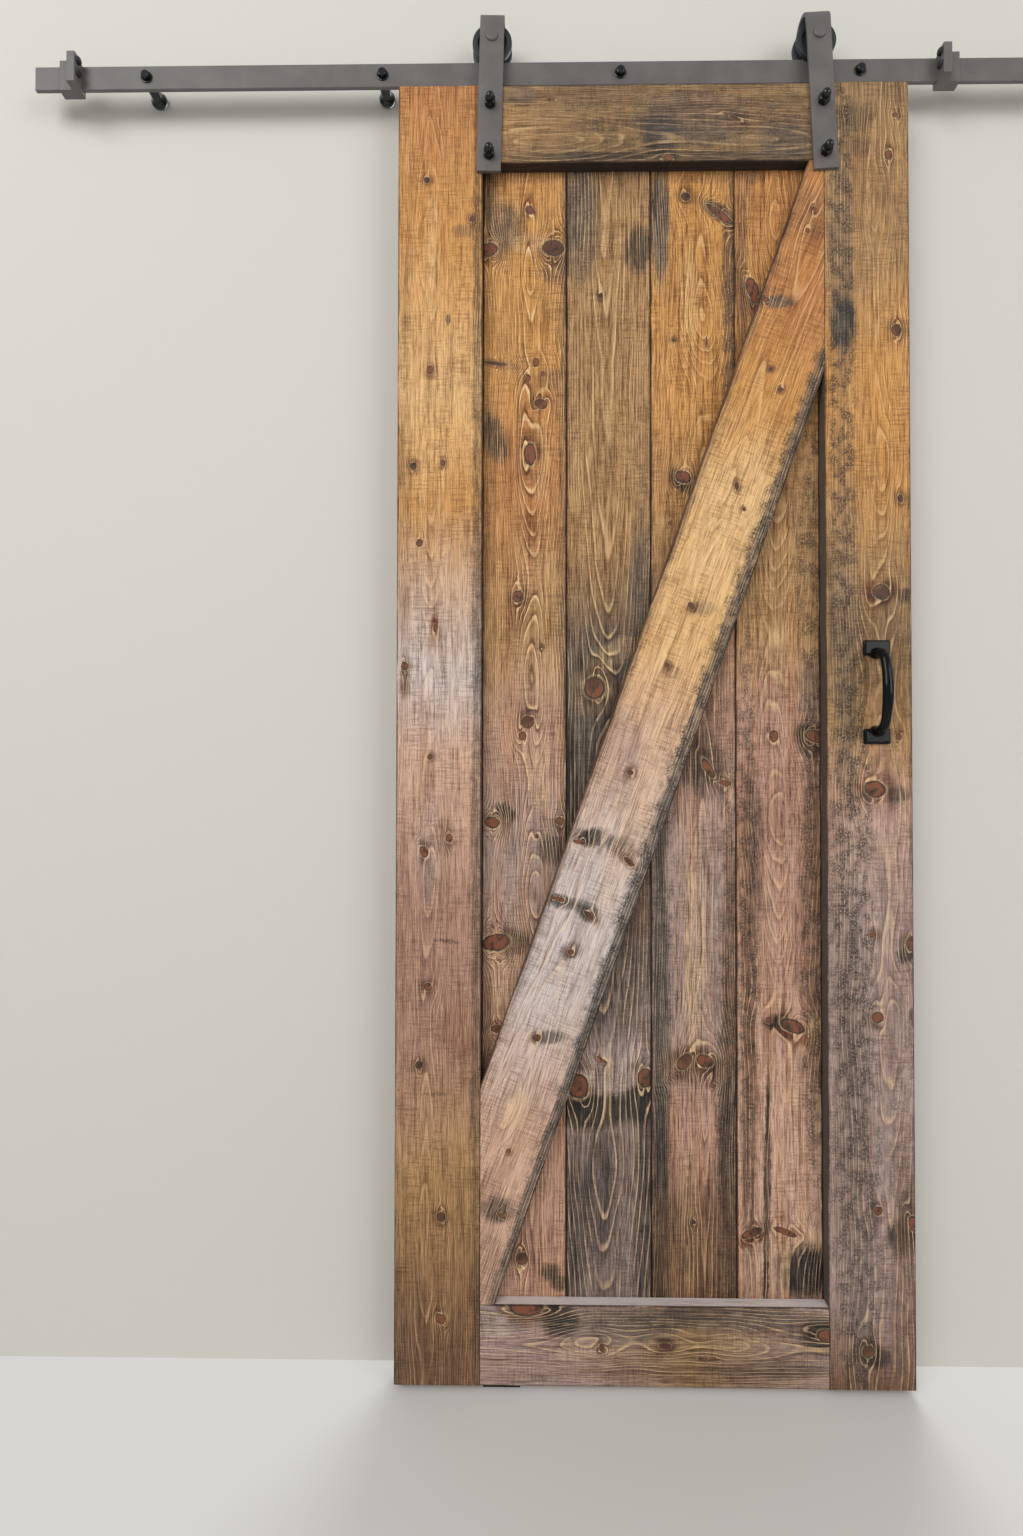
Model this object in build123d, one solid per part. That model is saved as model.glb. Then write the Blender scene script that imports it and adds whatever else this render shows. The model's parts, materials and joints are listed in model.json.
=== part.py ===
from build123d import *
import os
from math import acos, asin, atan2, cos, degrees, hypot, pi, radians, sin, sqrt, tan

os.makedirs("parts", exist_ok=True)

# All sizes are millimetres. x runs along the rail to the right, y to the rear and z up.
# The origin is on the spacers' rear face, on the axis of the rail's middle bolt.

# Rail and the bolts that hold it
rail_length = 1980.0
rail_height = 40.0
rail_thickness = 6.0
rail_edge_ease = 0.8
bolt_count = 5
bolt_pitch = 400.0
bolt_hole_clearance = 0.4
spacer_length = 38.0
spacer_neck_diameter = 18.0
spacer_foot_diameter = 28.0
spacer_foot_length = 10.0
spacer_foot_round = 4.0
spacer_neck_flare = 3.0
lag_shank_diameter = 7.2
lag_thread_diameter = 8.0
lag_rear_reach = 44.0
lag_point_length = 9.0
lag_head_across_flats = 13.0
lag_head_height = 5.5
lag_head_ease = 0.8
rail_washer_diameter = 20.0
rail_washer_thickness = 1.6

# Stops that slide on to the rail and end the door's travel
right_stop_from_axle = 202.5
left_stop_from_rail_end = 80.0
stop_leg_thickness = 14.0
stop_saddle_width = 22.0
stop_height = 50.0
stop_cheek = 5.0
stop_reach = 15.0
stop_slot_clearance = 0.2
stop_corner_round = 1.5
stop_wheel_relief = 4.0
button_diameter = 11.0
button_height = 5.0
button_round = 1.6
button_stem_diameter = 6.0
button_stem_length = 8.0
button_fit = 0.1
button_pitch = 21.0
button_middle_height = 6.0
button_set_back = 7.5
set_screw_diameter = 6.0
set_screw_socket = 3.0
set_screw_socket_depth = 3.0
set_screw_fit = 0.05
set_screw_offset = 12.0
set_screw_proud = 0.6

# Hangers: a bent strap, a grooved wheel on a ball bearing and an axle bolt
strap_width = 40.0
strap_thickness = 5.0
strap_edge_ease = 0.7
strap_gap = 33.0
strap_crown_lift = 26.0
strap_front_length = 227.0
strap_rear_length = 25.0
strap_rear_round = 8.0
left_hanger_inset = 155.1
left_lean = 1.3
right_hanger_inset = 147.6
right_lean = -2.7
hanger_bolt_upper = 115.0
hanger_bolt_lower = 200.0
hanger_bolt_diameter = 10.0
hanger_hole_clearance = 0.25
bolt_fit = 0.05
carriage_head_diameter = 22.0
carriage_head_height = 5.0
carriage_neck_length = 5.0
carriage_neck_fit = 0.1
dome_nut_across_flats = 17.0
dome_nut_hex_height = 8.0
dome_nut_dome_diameter = 15.0
dome_nut_collar = 3.0
dome_nut_bore_spare = 1.0
hanger_bolt_in_nut = 12.0

wheel_roll_radius = 25.0
wheel_flange_radius = 33.0
wheel_width = 22.0
wheel_groove_width = 7.6
wheel_groove_mouth = 10.0
wheel_rim_round = 1.5
wheel_dish_radius = 24.0
wheel_dish_depth = 3.0
wheel_dish_draft = 1.0
wheel_lip = 2.0
wheel_rail_gap = 0.2
bearing_bore_radius = 5.0
bearing_outer_radius = 15.0
bearing_width = 9.0
bearing_pitch_radius = 10.0
bearing_ball_radius = 2.6
bearing_ball_count = 8
bearing_inner_shoulder = 8.2
bearing_outer_shoulder = 11.8
bearing_race_clearance = 0.05
bearing_seat_fit = 0.02
shield_thickness = 0.4
shield_seat_step = 0.5
shield_end_set = 0.2
shield_gap = 0.3
bush_radius = 8.0
axle_fit = 0.05
axle_head_diameter = 20.0
axle_head_height = 3.5
axle_head_round = 1.5
axle_nut_across_flats = 17.0
axle_nut_height = 8.0
axle_end_proud = 2.0

# Door: six planks behind a frame of two stiles, two rails and a brace
board_width = 139.7
board_thickness = 19.05
worn_corner_radius = 8.0
board_edge_ease = 1.2
plank_count = 6
plank_gap = 0.8
door_height = 2133.6
door_rail_width = 130.0
brace_toe = 23.8
door_middle_x = 51.0
door_drop = 14.0

# Screws that join the planks to the frame from behind
screw_length = 31.0
screw_shank_diameter = 4.0
screw_head_diameter = 8.0
screw_head_height = 2.4
screw_head_sink = 0.3
screw_hole_fit = 0.1
screw_rail_inset = 65.0
screw_stile_rows = 2

# Cast pull handle
handle_inset = 58.6
handle_height = 1124.1
handle_foot_pitch = 144.5
handle_foot_width = 43.0
handle_foot_height = 25.0
handle_foot_thickness = 5.0
handle_foot_bevel = 2.5
handle_foot_corner = 3.0
handle_root_pitch = 126.0
handle_bow_height = 35.0
handle_bow_radius = 158.0
handle_bend_radius = 20.0
handle_root_half_width = 12.0
handle_root_half_depth = 9.0
handle_neck_half_width = 7.4
handle_neck_half_depth = 6.0
handle_grip_half_width = 8.6
handle_grip_half_depth = 7.0
handle_bolt_diameter = 6.0
handle_bolt_depth = 9.0
handle_bolt_end_gap = 0.5
handle_bolt_head_diameter = 12.0
handle_bolt_head_height = 4.0
handle_bolt_socket = 4.0
handle_bolt_socket_depth = 2.2

# Nylon discs on the door's top edge that keep the wheels on the rail
disc_diameter = 30.0
disc_thickness = 7.0
disc_from_axle = 72.0
disc_from_joint = 3.0
disc_screw_length = 32.0

# Guide below the door, whose fin runs in a groove in the door's foot
floor_gap = 12.0
guide_inset = 174.6
guide_length = 60.0
guide_width = 36.0
guide_front_reach = 8.0
guide_plate = 2.6
guide_screw_sink = 0.2
guide_fin_thickness = 3.0
guide_fin_height = 20.0
guide_fin_round = 1.5
guide_groove_side_gap = 0.8
guide_groove_depth = 16.0
guide_screw_pitch = 40.0
guide_screw_set = 15.0
guide_screw_length = 26.0

# Places that follow from the sizes above
rail_back = -spacer_length
rail_front = rail_back - rail_thickness
rail_middle = rail_back - rail_thickness / 2
axle_z = rail_height / 2 + wheel_roll_radius + wheel_rail_gap
door_front = rail_middle - strap_gap / 2
door_joint = door_front + board_thickness
door_back = door_joint + board_thickness
door_width = plank_count * board_width + (plank_count - 1) * plank_gap
door_left = door_middle_x - door_width / 2
door_right = door_middle_x + door_width / 2
door_top = -rail_height / 2 - door_drop
door_foot = door_top - door_height
floor_z = door_foot - floor_gap
left_axle_x = door_left + left_hanger_inset
right_axle_x = door_right - right_hanger_inset
left_stop_face = left_stop_from_rail_end - rail_length / 2
right_stop_face = right_axle_x + right_stop_from_axle
handle_x = door_right - handle_inset
handle_z = door_foot + handle_height
guide_x = door_left + guide_inset
guide_front = door_joint - guide_front_reach
guide_screw_y = door_joint + guide_screw_set
disc_y = door_joint + disc_from_joint
opening_half_width = door_width / 2 - board_width
opening_half_height = door_height / 2 - door_rail_width
brace_reach = opening_half_width - brace_toe
brace_angle = degrees(asin(board_width / 2 / hypot(brace_reach, opening_half_height))
                      + atan2(brace_reach, opening_half_height))
strap_front = door_front - strap_thickness
rear_leg_back = rail_middle + strap_gap / 2 + strap_thickness
hangers = {"left": (left_axle_x, left_lean), "right": (right_axle_x, right_lean)}
stops = {"left": (left_stop_face, -1), "right": (right_stop_face, 1)}
bolt_places = [(i - (bolt_count - 1) / 2) * bolt_pitch for i in range(bolt_count)]


def solid_group(shapes):
    """Separate like solids that share one node."""
    return Compound(children=list(shapes))


def rod_y(diameter, y_from, y_to, x=0.0, z=0.0):
    """A plain round bar along y."""
    length = y_to - y_from
    return Pos(x, (y_from + y_to) / 2, z) * Rot(90, 0, 0) * Cylinder(diameter / 2, length)


def turned(points, x=0.0, y=0.0, z=0.0):
    """A solid of revolution about y, from a closed half section of (radius, y) points."""
    section = make_face(Polyline(*points, close=True))
    return Pos(x, y, z) * revolve(section, Axis.Y, 360)


def hex_y(across_flats, y_from, y_to, x=0.0, z=0.0):
    """A hexagonal bar along y."""
    flats = RegularPolygon(across_flats / 2, 6, major_radius=False)
    bar = extrude(flats, y_to - y_from)
    return Pos(x, y_to, z) * Rot(90, 0, 0) * bar


def block(x_from, x_to, y_from, y_to, z_from, z_to):
    """A box between two corners."""
    size = (x_to - x_from, y_to - y_from, z_to - z_from)
    return Pos((x_from + x_to) / 2, (y_from + y_to) / 2, (z_from + z_to) / 2) * Box(*size)


def wood_screw(head_y, x, z, length, spare=0.0):
    """A countersunk screw along -y, with its head at head_y. With spare it is the screw's hole."""
    head = screw_head_diameter / 2 + spare
    shank = screw_shank_diameter / 2 + spare
    neck = -screw_head_height
    tip = -length - spare
    point = tip + screw_shank_diameter
    section = [(0, 0), (head, 0), (shank, neck), (shank, point), (0, tip)]
    return turned(section, x, head_y, z)


# Rail and its bolts

def make_rail():
    bar = block(-rail_length / 2, rail_length / 2, rail_front, rail_back,
                -rail_height / 2, rail_height / 2)
    bar = chamfer(bar.edges().filter_by(Axis.X), rail_edge_ease)
    hole = lag_thread_diameter + 2 * bolt_hole_clearance
    for x in bolt_places:
        bar -= rod_y(hole, rail_front - 1, rail_back + 1, x)
    return bar


def make_rail_spacer(x):
    """A turned spacer: a neck at the rail that swells to a rounded foot."""
    bore = lag_thread_diameter / 2 + bolt_hole_clearance
    neck = spacer_neck_diameter / 2
    foot = spacer_foot_diameter / 2
    foot_start = -spacer_foot_length
    flare = foot - spacer_foot_round - neck
    outline = Polyline((bore, 0), (bore, rail_back), (neck, rail_back),
                       (neck, foot_start - spacer_neck_flare))
    swell = Line((neck, foot_start - spacer_neck_flare), (neck + flare, foot_start))
    shoulder = RadiusArc((neck + flare, foot_start), (foot, foot_start + spacer_foot_round),
                         -spacer_foot_round)
    lower = RadiusArc((foot, foot_start + spacer_foot_round),
                      (foot - spacer_foot_round / 2, 0), -spacer_foot_length)
    close = Line((foot - spacer_foot_round / 2, 0), (bore, 0))
    section = make_face(outline + swell + shoulder + lower + close)
    return Pos(x, 0, 0) * revolve(section, Axis.Y, 360)


def make_lag_bolt(x):
    head_back = rail_front - rail_washer_thickness
    head_front = head_back - lag_head_height
    head = hex_y(lag_head_across_flats, head_front, head_back)
    corner = lag_head_across_flats / sqrt(3)
    crown = turned([(0, head_front), (lag_head_across_flats / 2, head_front),
                    (corner, head_front + lag_head_ease), (corner, head_back), (0, head_back)])
    shank = lag_shank_diameter / 2
    thread = lag_thread_diameter / 2
    point = lag_rear_reach - lag_point_length
    body = turned([(0, head_back - 1), (shank, head_back - 1), (shank, 0), (thread, 0),
                   (thread, point), (0, lag_rear_reach)])
    return Pos(x, 0, 0) * ((head & crown) + body)


def make_rail_washer(x):
    bore = lag_thread_diameter + 2 * bolt_hole_clearance
    ring = rod_y(rail_washer_diameter, rail_front - rail_washer_thickness, rail_front)
    return Pos(x, 0, 0) * (ring - rod_y(bore, rail_front - 3, rail_front + 1))


# Stops

def stop_button_places():
    middle = button_middle_height
    return [middle - button_pitch / 2, middle + button_pitch / 2]


def make_stop(face, side):
    """An angle block: a saddle round the rail and a leg that stands out in the strap's way."""
    slot = stop_slot_clearance
    saddle_front = rail_front - stop_cheek
    saddle_back = rail_back + stop_cheek
    leg_front = saddle_front - stop_reach
    far = stop_leg_thickness + stop_saddle_width
    plan = make_face(Polyline((0, leg_front), (stop_leg_thickness, leg_front),
                              (stop_leg_thickness, saddle_front), (far, saddle_front),
                              (far, saddle_back), (0, saddle_back), close=True))
    body = Pos(0, 0, -stop_height / 2) * extrude(plan, stop_height)
    body = fillet(body.edges().filter_by(Axis.Z), stop_corner_round)
    relief = make_face(Polyline((0, stop_height / 2), (stop_wheel_relief, stop_height / 2),
                                (0, stop_height / 2 - stop_wheel_relief), close=True))
    relief = Pos(0, saddle_back + 1, 0) * Rot(90, 0, 0) * extrude(relief, 30)
    body -= relief & block(-1, far, saddle_front - 1, saddle_back + 1, -stop_height, stop_height)
    body -= block(-1, far + 1, rail_front - slot, rail_back + slot,
                  -rail_height / 2 - slot, rail_height / 2 + slot)
    bore = button_stem_diameter / 2 + button_fit
    for z in stop_button_places():
        hole = Rot(0, 90, 0) * Cylinder(bore, 2 * (button_stem_length + 0.5))
        body -= Pos(0, leg_front + button_set_back, z) * hole
    for z in (-set_screw_offset, set_screw_offset):
        x = stop_leg_thickness + stop_saddle_width / 2
        body -= rod_y(set_screw_diameter, rail_back, saddle_back + 1, x, z)
    if side < 0:
        body = mirror(body, Plane.YZ)
    return Pos(face, 0, 0) * body


def make_stop_button(face, side, z):
    """A rubber button with a stem, on the leg's face that meets the strap."""
    head = button_diameter / 2
    stem = button_stem_diameter / 2
    section = [(0, -button_stem_length), (stem, -button_stem_length), (stem, 0), (head, 0),
               (head, button_height - button_round), (head - button_round, button_height),
               (0, button_height)]
    button = Rot(0, 0, 90 * side) * turned(section)
    y = rail_front - stop_cheek - stop_reach + button_set_back
    return Pos(face, y, z) * button


def make_set_screw(face, side, z):
    x = face + side * (stop_leg_thickness + stop_saddle_width / 2)
    back = rail_back + stop_cheek + set_screw_proud
    screw = rod_y(set_screw_diameter - 2 * set_screw_fit, rail_back, back, x, z)
    return screw - hex_y(set_screw_socket, back - set_screw_socket_depth, back + 1, x, z)


# Hangers, built about their own axle and then leaned and set in place

def hang(shape, axle_x, lean):
    return Pos(axle_x, 0, axle_z) * Rot(0, lean, 0) * shape


def make_strap():
    """A flat bar bent over the wheel, with its long leg on the door's face."""
    front = door_front
    back = rail_middle + strap_gap / 2
    inner = strap_gap / 2
    outer = inner + strap_thickness
    crown = strap_crown_lift
    foot = -strap_front_length
    heel = -strap_rear_length
    lines = Polyline((front, crown), (front, foot), (front - strap_thickness, foot),
                     (front - strap_thickness, crown))
    over = RadiusArc((front - strap_thickness, crown), (back + strap_thickness, crown), outer)
    rear = Polyline((back + strap_thickness, crown), (back + strap_thickness, heel), (back, heel),
                    (back, crown))
    under = RadiusArc((back, crown), (front, crown), -inner)
    profile = Plane.YZ * make_face(lines + over + rear + under)
    bar = extrude(profile, strap_width / 2, both=True)
    rear_corners = [e for e in bar.edges().filter_by(Axis.Y) if abs(e.center().Z - heel) < 0.01]
    bar = fillet(rear_corners, strap_rear_round)
    long_edges = [e for e in bar.edges().filter_by(Axis.Z) if e.length > 4 * strap_width]
    bar = chamfer(long_edges, strap_edge_ease)
    axle_hole = 2 * bearing_bore_radius + 2 * hanger_hole_clearance
    bar -= rod_y(axle_hole, strap_front - 1, rear_leg_back + 1)
    for drop in (hanger_bolt_upper, hanger_bolt_lower):
        bore = hanger_bolt_diameter + 2 * hanger_hole_clearance
        bar -= rod_y(bore, strap_front - 1, door_front + 1, 0, -drop)
    return bar


def make_axle():
    """The axle bolt: a low round head on the strap and a plain shank to the nut behind."""
    head = axle_head_diameter / 2
    shank = bearing_bore_radius - axle_fit
    front = strap_front - axle_head_height
    end = rear_leg_back + axle_nut_height + axle_end_proud
    return turned([(0, front), (head - 2 * axle_head_round, front),
                   (head - axle_head_round / 2, front + axle_head_round / 2),
                   (head, front + axle_head_round), (head, strap_front), (shank, strap_front),
                   (shank, end - 1), (shank - 1, end), (0, end)])


def make_axle_nut():
    nut = hex_y(axle_nut_across_flats, rear_leg_back, rear_leg_back + axle_nut_height)
    return nut - rod_y(2 * bearing_bore_radius, rear_leg_back - 1, rear_leg_back + axle_nut_height + 1)


def make_axle_bush(side):
    """A sleeve between the bearing's inner ring and one leg of the strap."""
    inner = bearing_bore_radius
    near = bearing_width / 2
    far = strap_gap / 2
    section = [(inner, near), (bush_radius, near), (bush_radius, far), (inner, far)]
    return turned([(r, side * y) for r, y in section], 0, rail_middle)


def race(radius_at_end, ball_side):
    """Where the ball's groove meets a ring's shoulder, as a half width."""
    groove = bearing_ball_radius + bearing_race_clearance
    rise = ball_side * (radius_at_end - bearing_pitch_radius)
    return sqrt(groove ** 2 - rise ** 2)


def make_inner_ring():
    groove = bearing_ball_radius + bearing_race_clearance
    half = race(bearing_inner_shoulder, -1)
    end = bearing_width / 2
    shoulder = bearing_inner_shoulder
    bore = bearing_bore_radius
    outline = Polyline((shoulder, -half), (shoulder, -end), (bore, -end), (bore, end),
                       (shoulder, end), (shoulder, half))
    track = RadiusArc((shoulder, half), (shoulder, -half), -groove)
    return Pos(0, rail_middle, 0) * revolve(make_face(outline + track), Axis.Y, 360)


def make_outer_ring():
    groove = bearing_ball_radius + bearing_race_clearance
    half = race(bearing_outer_shoulder, 1)
    end = bearing_width / 2
    shoulder = bearing_outer_shoulder
    seat = shoulder + shield_seat_step
    ledge = end - shield_end_set - shield_thickness
    outer = bearing_outer_radius
    outline = Polyline((shoulder, half), (shoulder, ledge), (seat, ledge), (seat, end), (outer, end),
                       (outer, -end), (seat, -end), (seat, -ledge), (shoulder, -ledge),
                       (shoulder, -half))
    track = RadiusArc((shoulder, -half), (shoulder, half), -groove)
    return Pos(0, rail_middle, 0) * revolve(make_face(outline + track), Axis.Y, 360)


def make_ball(index):
    turn = 360 * index / bearing_ball_count
    return Pos(0, rail_middle, 0) * Rot(0, turn, 0) * Pos(bearing_pitch_radius, 0, 0) * Sphere(
        bearing_ball_radius)


def make_shield(side):
    """A thin washer pressed into the outer ring, which closes the bearing."""
    inner = bearing_inner_shoulder + shield_gap
    outer = bearing_outer_shoulder + shield_seat_step - bearing_seat_fit
    far = bearing_width / 2 - shield_end_set
    near = far - shield_thickness
    section = [(inner, near), (outer, near), (outer, far), (inner, far)]
    return turned([(r, side * y) for r, y in section], 0, rail_middle)


def make_wheel():
    """A moulded wheel with two flanges, a dished face and a seat for the bearing."""
    edge = wheel_width / 2
    floor = edge - wheel_dish_depth
    rim = wheel_flange_radius
    seat = bearing_outer_radius + bearing_seat_fit
    lip = seat - wheel_lip
    dish = wheel_dish_radius
    ring = bearing_width / 2
    bottom = wheel_groove_width / 2
    mouth = wheel_groove_mouth / 2
    ease = wheel_rim_round
    section = [(seat, -floor), (dish - wheel_dish_draft, -floor), (dish, -edge), (rim - ease, -edge),
               (rim, -edge + ease), (rim, -mouth), (wheel_roll_radius, -bottom),
               (wheel_roll_radius, bottom), (rim, mouth), (rim, edge - ease), (rim - ease, edge),
               (dish, edge), (dish - wheel_dish_draft, floor), (lip, floor), (lip, ring),
               (seat, ring)]
    return turned(section, 0, rail_middle)


def make_hanger_bolt(drop):
    """A carriage bolt from behind the door: round head, square neck and plain shank."""
    head = carriage_head_diameter / 2
    shank = hanger_bolt_diameter / 2 - bolt_fit
    back = door_back + carriage_head_height
    end = strap_front - hanger_bolt_in_nut
    sag = carriage_head_height
    dome_radius = (head ** 2 + sag ** 2) / (2 * sag)
    outline = Polyline((0, back), (0, end), (shank - 1, end), (shank, end + 1), (shank, door_back),
                       (head, door_back))
    crown = RadiusArc((head, door_back), (0, back), -dome_radius)
    bolt = revolve(make_face(outline + crown), Axis.Y, 360)
    half = hanger_bolt_diameter / 2
    neck = block(-half, half, door_back - carriage_neck_length, door_back, -half, half)
    return Pos(0, 0, -drop) * (bolt + neck)


def make_dome_nut(drop):
    front = strap_front - dome_nut_hex_height
    dome = dome_nut_dome_diameter / 2
    hexagon = hex_y(dome_nut_across_flats, front, strap_front)
    corner = dome_nut_across_flats / sqrt(3)
    flat = dome_nut_across_flats / 2
    ease = corner - flat
    taper = turned([(0, front), (flat, front), (corner, front + ease), (corner, strap_front - ease),
                    (flat, strap_front), (0, strap_front)])
    base = front - dome_nut_collar
    outline = Polyline((0, base - dome), (0, front + 1), (dome, front + 1), (dome, base))
    cap = revolve(make_face(outline + RadiusArc((dome, base), (0, base - dome), dome)), Axis.Y, 360)
    bore_end = strap_front - hanger_bolt_in_nut - dome_nut_bore_spare
    nut = (hexagon & taper) + cap - rod_y(hanger_bolt_diameter, bore_end, strap_front + 1)
    return Pos(0, 0, -drop) * nut


def hanger_bolt_holes():
    """What the hanger bolts take out of the door's boards: shank holes and square seats."""
    bore = hanger_bolt_diameter + 2 * hanger_hole_clearance
    half = hanger_bolt_diameter / 2 + carriage_neck_fit
    seat = door_back - carriage_neck_length - carriage_neck_fit
    holes = []
    for axle_x, lean in hangers.values():
        for drop in (hanger_bolt_upper, hanger_bolt_lower):
            hole = rod_y(bore, door_front - 1, door_back + 1, 0, -drop)
            neck = Pos(0, 0, -drop) * block(-half, half, seat, door_back + 1, -half, half)
            holes.append(hang(hole + neck, axle_x, lean))
    return holes


# Door boards

def screw_places():
    """Where the screws go in from behind: x and z of each."""
    pitch = board_width + plank_gap
    plank_middles = [door_left + board_width / 2 + i * pitch for i in range(plank_count)]
    rows = [door_top - screw_rail_inset, door_foot + screw_rail_inset]
    places = [(x, z) for x in plank_middles for z in rows]
    between = door_height / (screw_stile_rows + 1)
    for x in (plank_middles[0], plank_middles[-1]):
        places += [(x, door_top - between * (i + 1)) for i in range(screw_stile_rows)]
    middle = door_top - door_height / 2
    for x in plank_middles[1:-1]:
        places.append((x, middle + (x - door_middle_x) / tan(radians(brace_angle))))
    return places


def cut_boards(boards, tools):
    """Takes each tool out of the boards that it reaches."""
    for name, board in boards.items():
        room = board.bounding_box()
        for tool in tools:
            reach = tool.bounding_box()
            apart = (reach.min.X > room.max.X or reach.max.X < room.min.X
                     or reach.min.Y > room.max.Y or reach.max.Y < room.min.Y
                     or reach.min.Z > room.max.Z or reach.max.Z < room.min.Z)
            if not apart:
                board = board - tool
        boards[name] = board
    return boards


def eased_board(x_from, x_to, y_from, y_to, z_from, z_to, along):
    board = block(x_from, x_to, y_from, y_to, z_from, z_to)
    return chamfer(board.edges().filter_by(along), board_edge_ease)


def make_brace():
    """A diagonal board, cut to fit the corners of the frame."""
    half = board_width / 2
    turn = radians(brace_angle)
    side = opening_half_width
    end = opening_half_height
    x_cut = brace_reach
    z_cut = (side * cos(turn) - half) / sin(turn)
    outline = make_face(Polyline((x_cut, end), (side, end), (side, z_cut), (-x_cut, -end),
                                 (-side, -end), (-side, -z_cut), close=True))
    middle = Pos(door_middle_x, door_joint, door_top - door_height / 2)
    brace = middle * Rot(90, 0, 0) * extrude(outline, board_thickness)
    slanted = [e for e in brace.edges() if e.length > door_height / 2]
    return chamfer(slanted, board_edge_ease)


def worn_corner():
    """What has rubbed off the door's upper right corner."""
    x = door_right - worn_corner_radius
    z = door_top - worn_corner_radius
    corner = block(x, door_right + 1, door_front - 1, door_back + 1, z, door_top + 1)
    return corner - rod_y(2 * worn_corner_radius, door_front - 2, door_back + 2, x, z)


def make_boards():
    boards = {}
    for i in range(plank_count):
        x = door_left + i * (board_width + plank_gap)
        boards[f"back_plank_{i + 1}"] = eased_board(x, x + board_width, door_joint, door_back,
                                                    door_foot, door_top, Axis.Z)
    stile_left = door_left + board_width
    stile_right = door_right - board_width
    boards["left_stile"] = eased_board(door_left, stile_left, door_front, door_joint,
                                       door_foot, door_top, Axis.Z)
    boards["right_stile"] = eased_board(stile_right, door_right, door_front, door_joint,
                                        door_foot, door_top, Axis.Z)
    boards["top_rail"] = eased_board(stile_left, stile_right, door_front, door_joint,
                                     door_top - door_rail_width, door_top, Axis.X)
    boards["bottom_rail"] = eased_board(stile_left, stile_right, door_front, door_joint,
                                        door_foot, door_foot + door_rail_width, Axis.X)
    boards["brace"] = make_brace()
    tools = hanger_bolt_holes()
    head_y = door_back - screw_head_sink
    for x, z in screw_places():
        hole = wood_screw(head_y, x, z, screw_length, screw_hole_fit)
        mouth = rod_y(screw_head_diameter + 2 * screw_hole_fit, head_y, door_back + 1, x, z)
        tools.append(hole + mouth)
    half_groove = guide_fin_thickness / 2 + guide_groove_side_gap
    tools.append(block(door_left - 1, door_right + 1, door_joint - half_groove,
                       door_joint + half_groove, door_foot - 1, door_foot + guide_groove_depth))
    for z in handle_bolt_places():
        bore = handle_bolt_diameter + 2 * hanger_hole_clearance
        tools.append(rod_y(bore, door_front - 1, door_back + 1, handle_x, z))
    for x in disc_places():
        tools.append(disc_screw(x, screw_hole_fit))
    tools.append(worn_corner())
    return cut_boards(boards, tools)


# Pull handle

def handle_bolt_places():
    return [handle_z - handle_root_pitch / 2, handle_z + handle_root_pitch / 2]


def handle_path():
    """Half of the grip's centre line in the y-z plane, from a foot to the middle."""
    bend = handle_bend_radius
    root = handle_root_pitch / 2
    bow_centre = handle_bow_radius - handle_bow_height
    turn_z = root - bend
    turn_h = sqrt((handle_bow_radius - bend) ** 2 - turn_z ** 2) - bow_centre
    join = (handle_bow_radius / (handle_bow_radius - bend))
    join_z = turn_z * join
    join_h = (turn_h + bow_centre) * join - bow_centre
    return turn_z, turn_h, join_z, join_h, bow_centre


def handle_section(h, z, lean, half_width, half_depth):
    """An ellipse across the grip, h out from the door and z along it, leant from the door."""
    across = Plane(origin=(0, -h, z), x_dir=(1, 0, 0), z_dir=(0, -cos(lean), -sin(lean)))
    return across * Ellipse(half_width, half_depth)


def handle_sections():
    """Sections from the upper foot, round the bend, along the bow and down to the lower foot."""
    turn_z, turn_h, join_z, join_h, bow_centre = handle_path()
    root = (handle_root_half_width, handle_root_half_depth)
    neck = (handle_neck_half_width, handle_neck_half_depth)
    grip = (handle_grip_half_width, handle_grip_half_depth)
    bend = handle_bend_radius
    last = acos(join_z / handle_bow_radius)
    upper = [(0.0, handle_root_pitch / 2, 0.0, *root),
             (max(turn_h, 1.0) * 0.6, handle_root_pitch / 2, 0.0,
              root[0] - 0.45 * (root[0] - neck[0]), root[1] - 0.45 * (root[1] - neck[1]))]
    for share in (0.3, 0.65, 1.0):
        lean = share * last
        size = [n + (1 - share) * 0.25 * (r - n) for r, n in zip(root, neck)]
        upper.append((turn_h + bend * sin(lean), turn_z + bend * cos(lean), lean, *size))
    for share in (0.66, 0.33):
        z = share * join_z
        h = sqrt(handle_bow_radius ** 2 - z ** 2) - bow_centre
        size = [g + share * share * (n - g) for n, g in zip(neck, grip)]
        upper.append((h, z, acos(z / handle_bow_radius), *size))
    lower = [(h, -z, pi - lean, a, b) for h, z, lean, a, b in reversed(upper)]
    return upper + [(handle_bow_height, 0.0, pi / 2, *grip)] + lower


def make_handle():
    """One casting: two bevelled feet and a grip that bows out between them."""
    handle = loft([handle_section(*s) for s in handle_sections()])
    for side in (-1, 1):
        z = side * handle_foot_pitch / 2
        across = handle_foot_width / 2
        half = handle_foot_height / 2
        foot = block(-across, across, -handle_foot_thickness, 0, z - half, z + half)
        foot = fillet(foot.edges().filter_by(Axis.Y), handle_foot_corner)
        foot = chamfer(foot.faces().sort_by(Axis.Y)[0].edges(), handle_foot_bevel)
        handle += foot
    for side in (-1, 1):
        handle -= rod_y(handle_bolt_diameter, -handle_bolt_depth, 1, 0, side * handle_root_pitch / 2)
    return Pos(handle_x, door_front, handle_z) * handle


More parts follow.
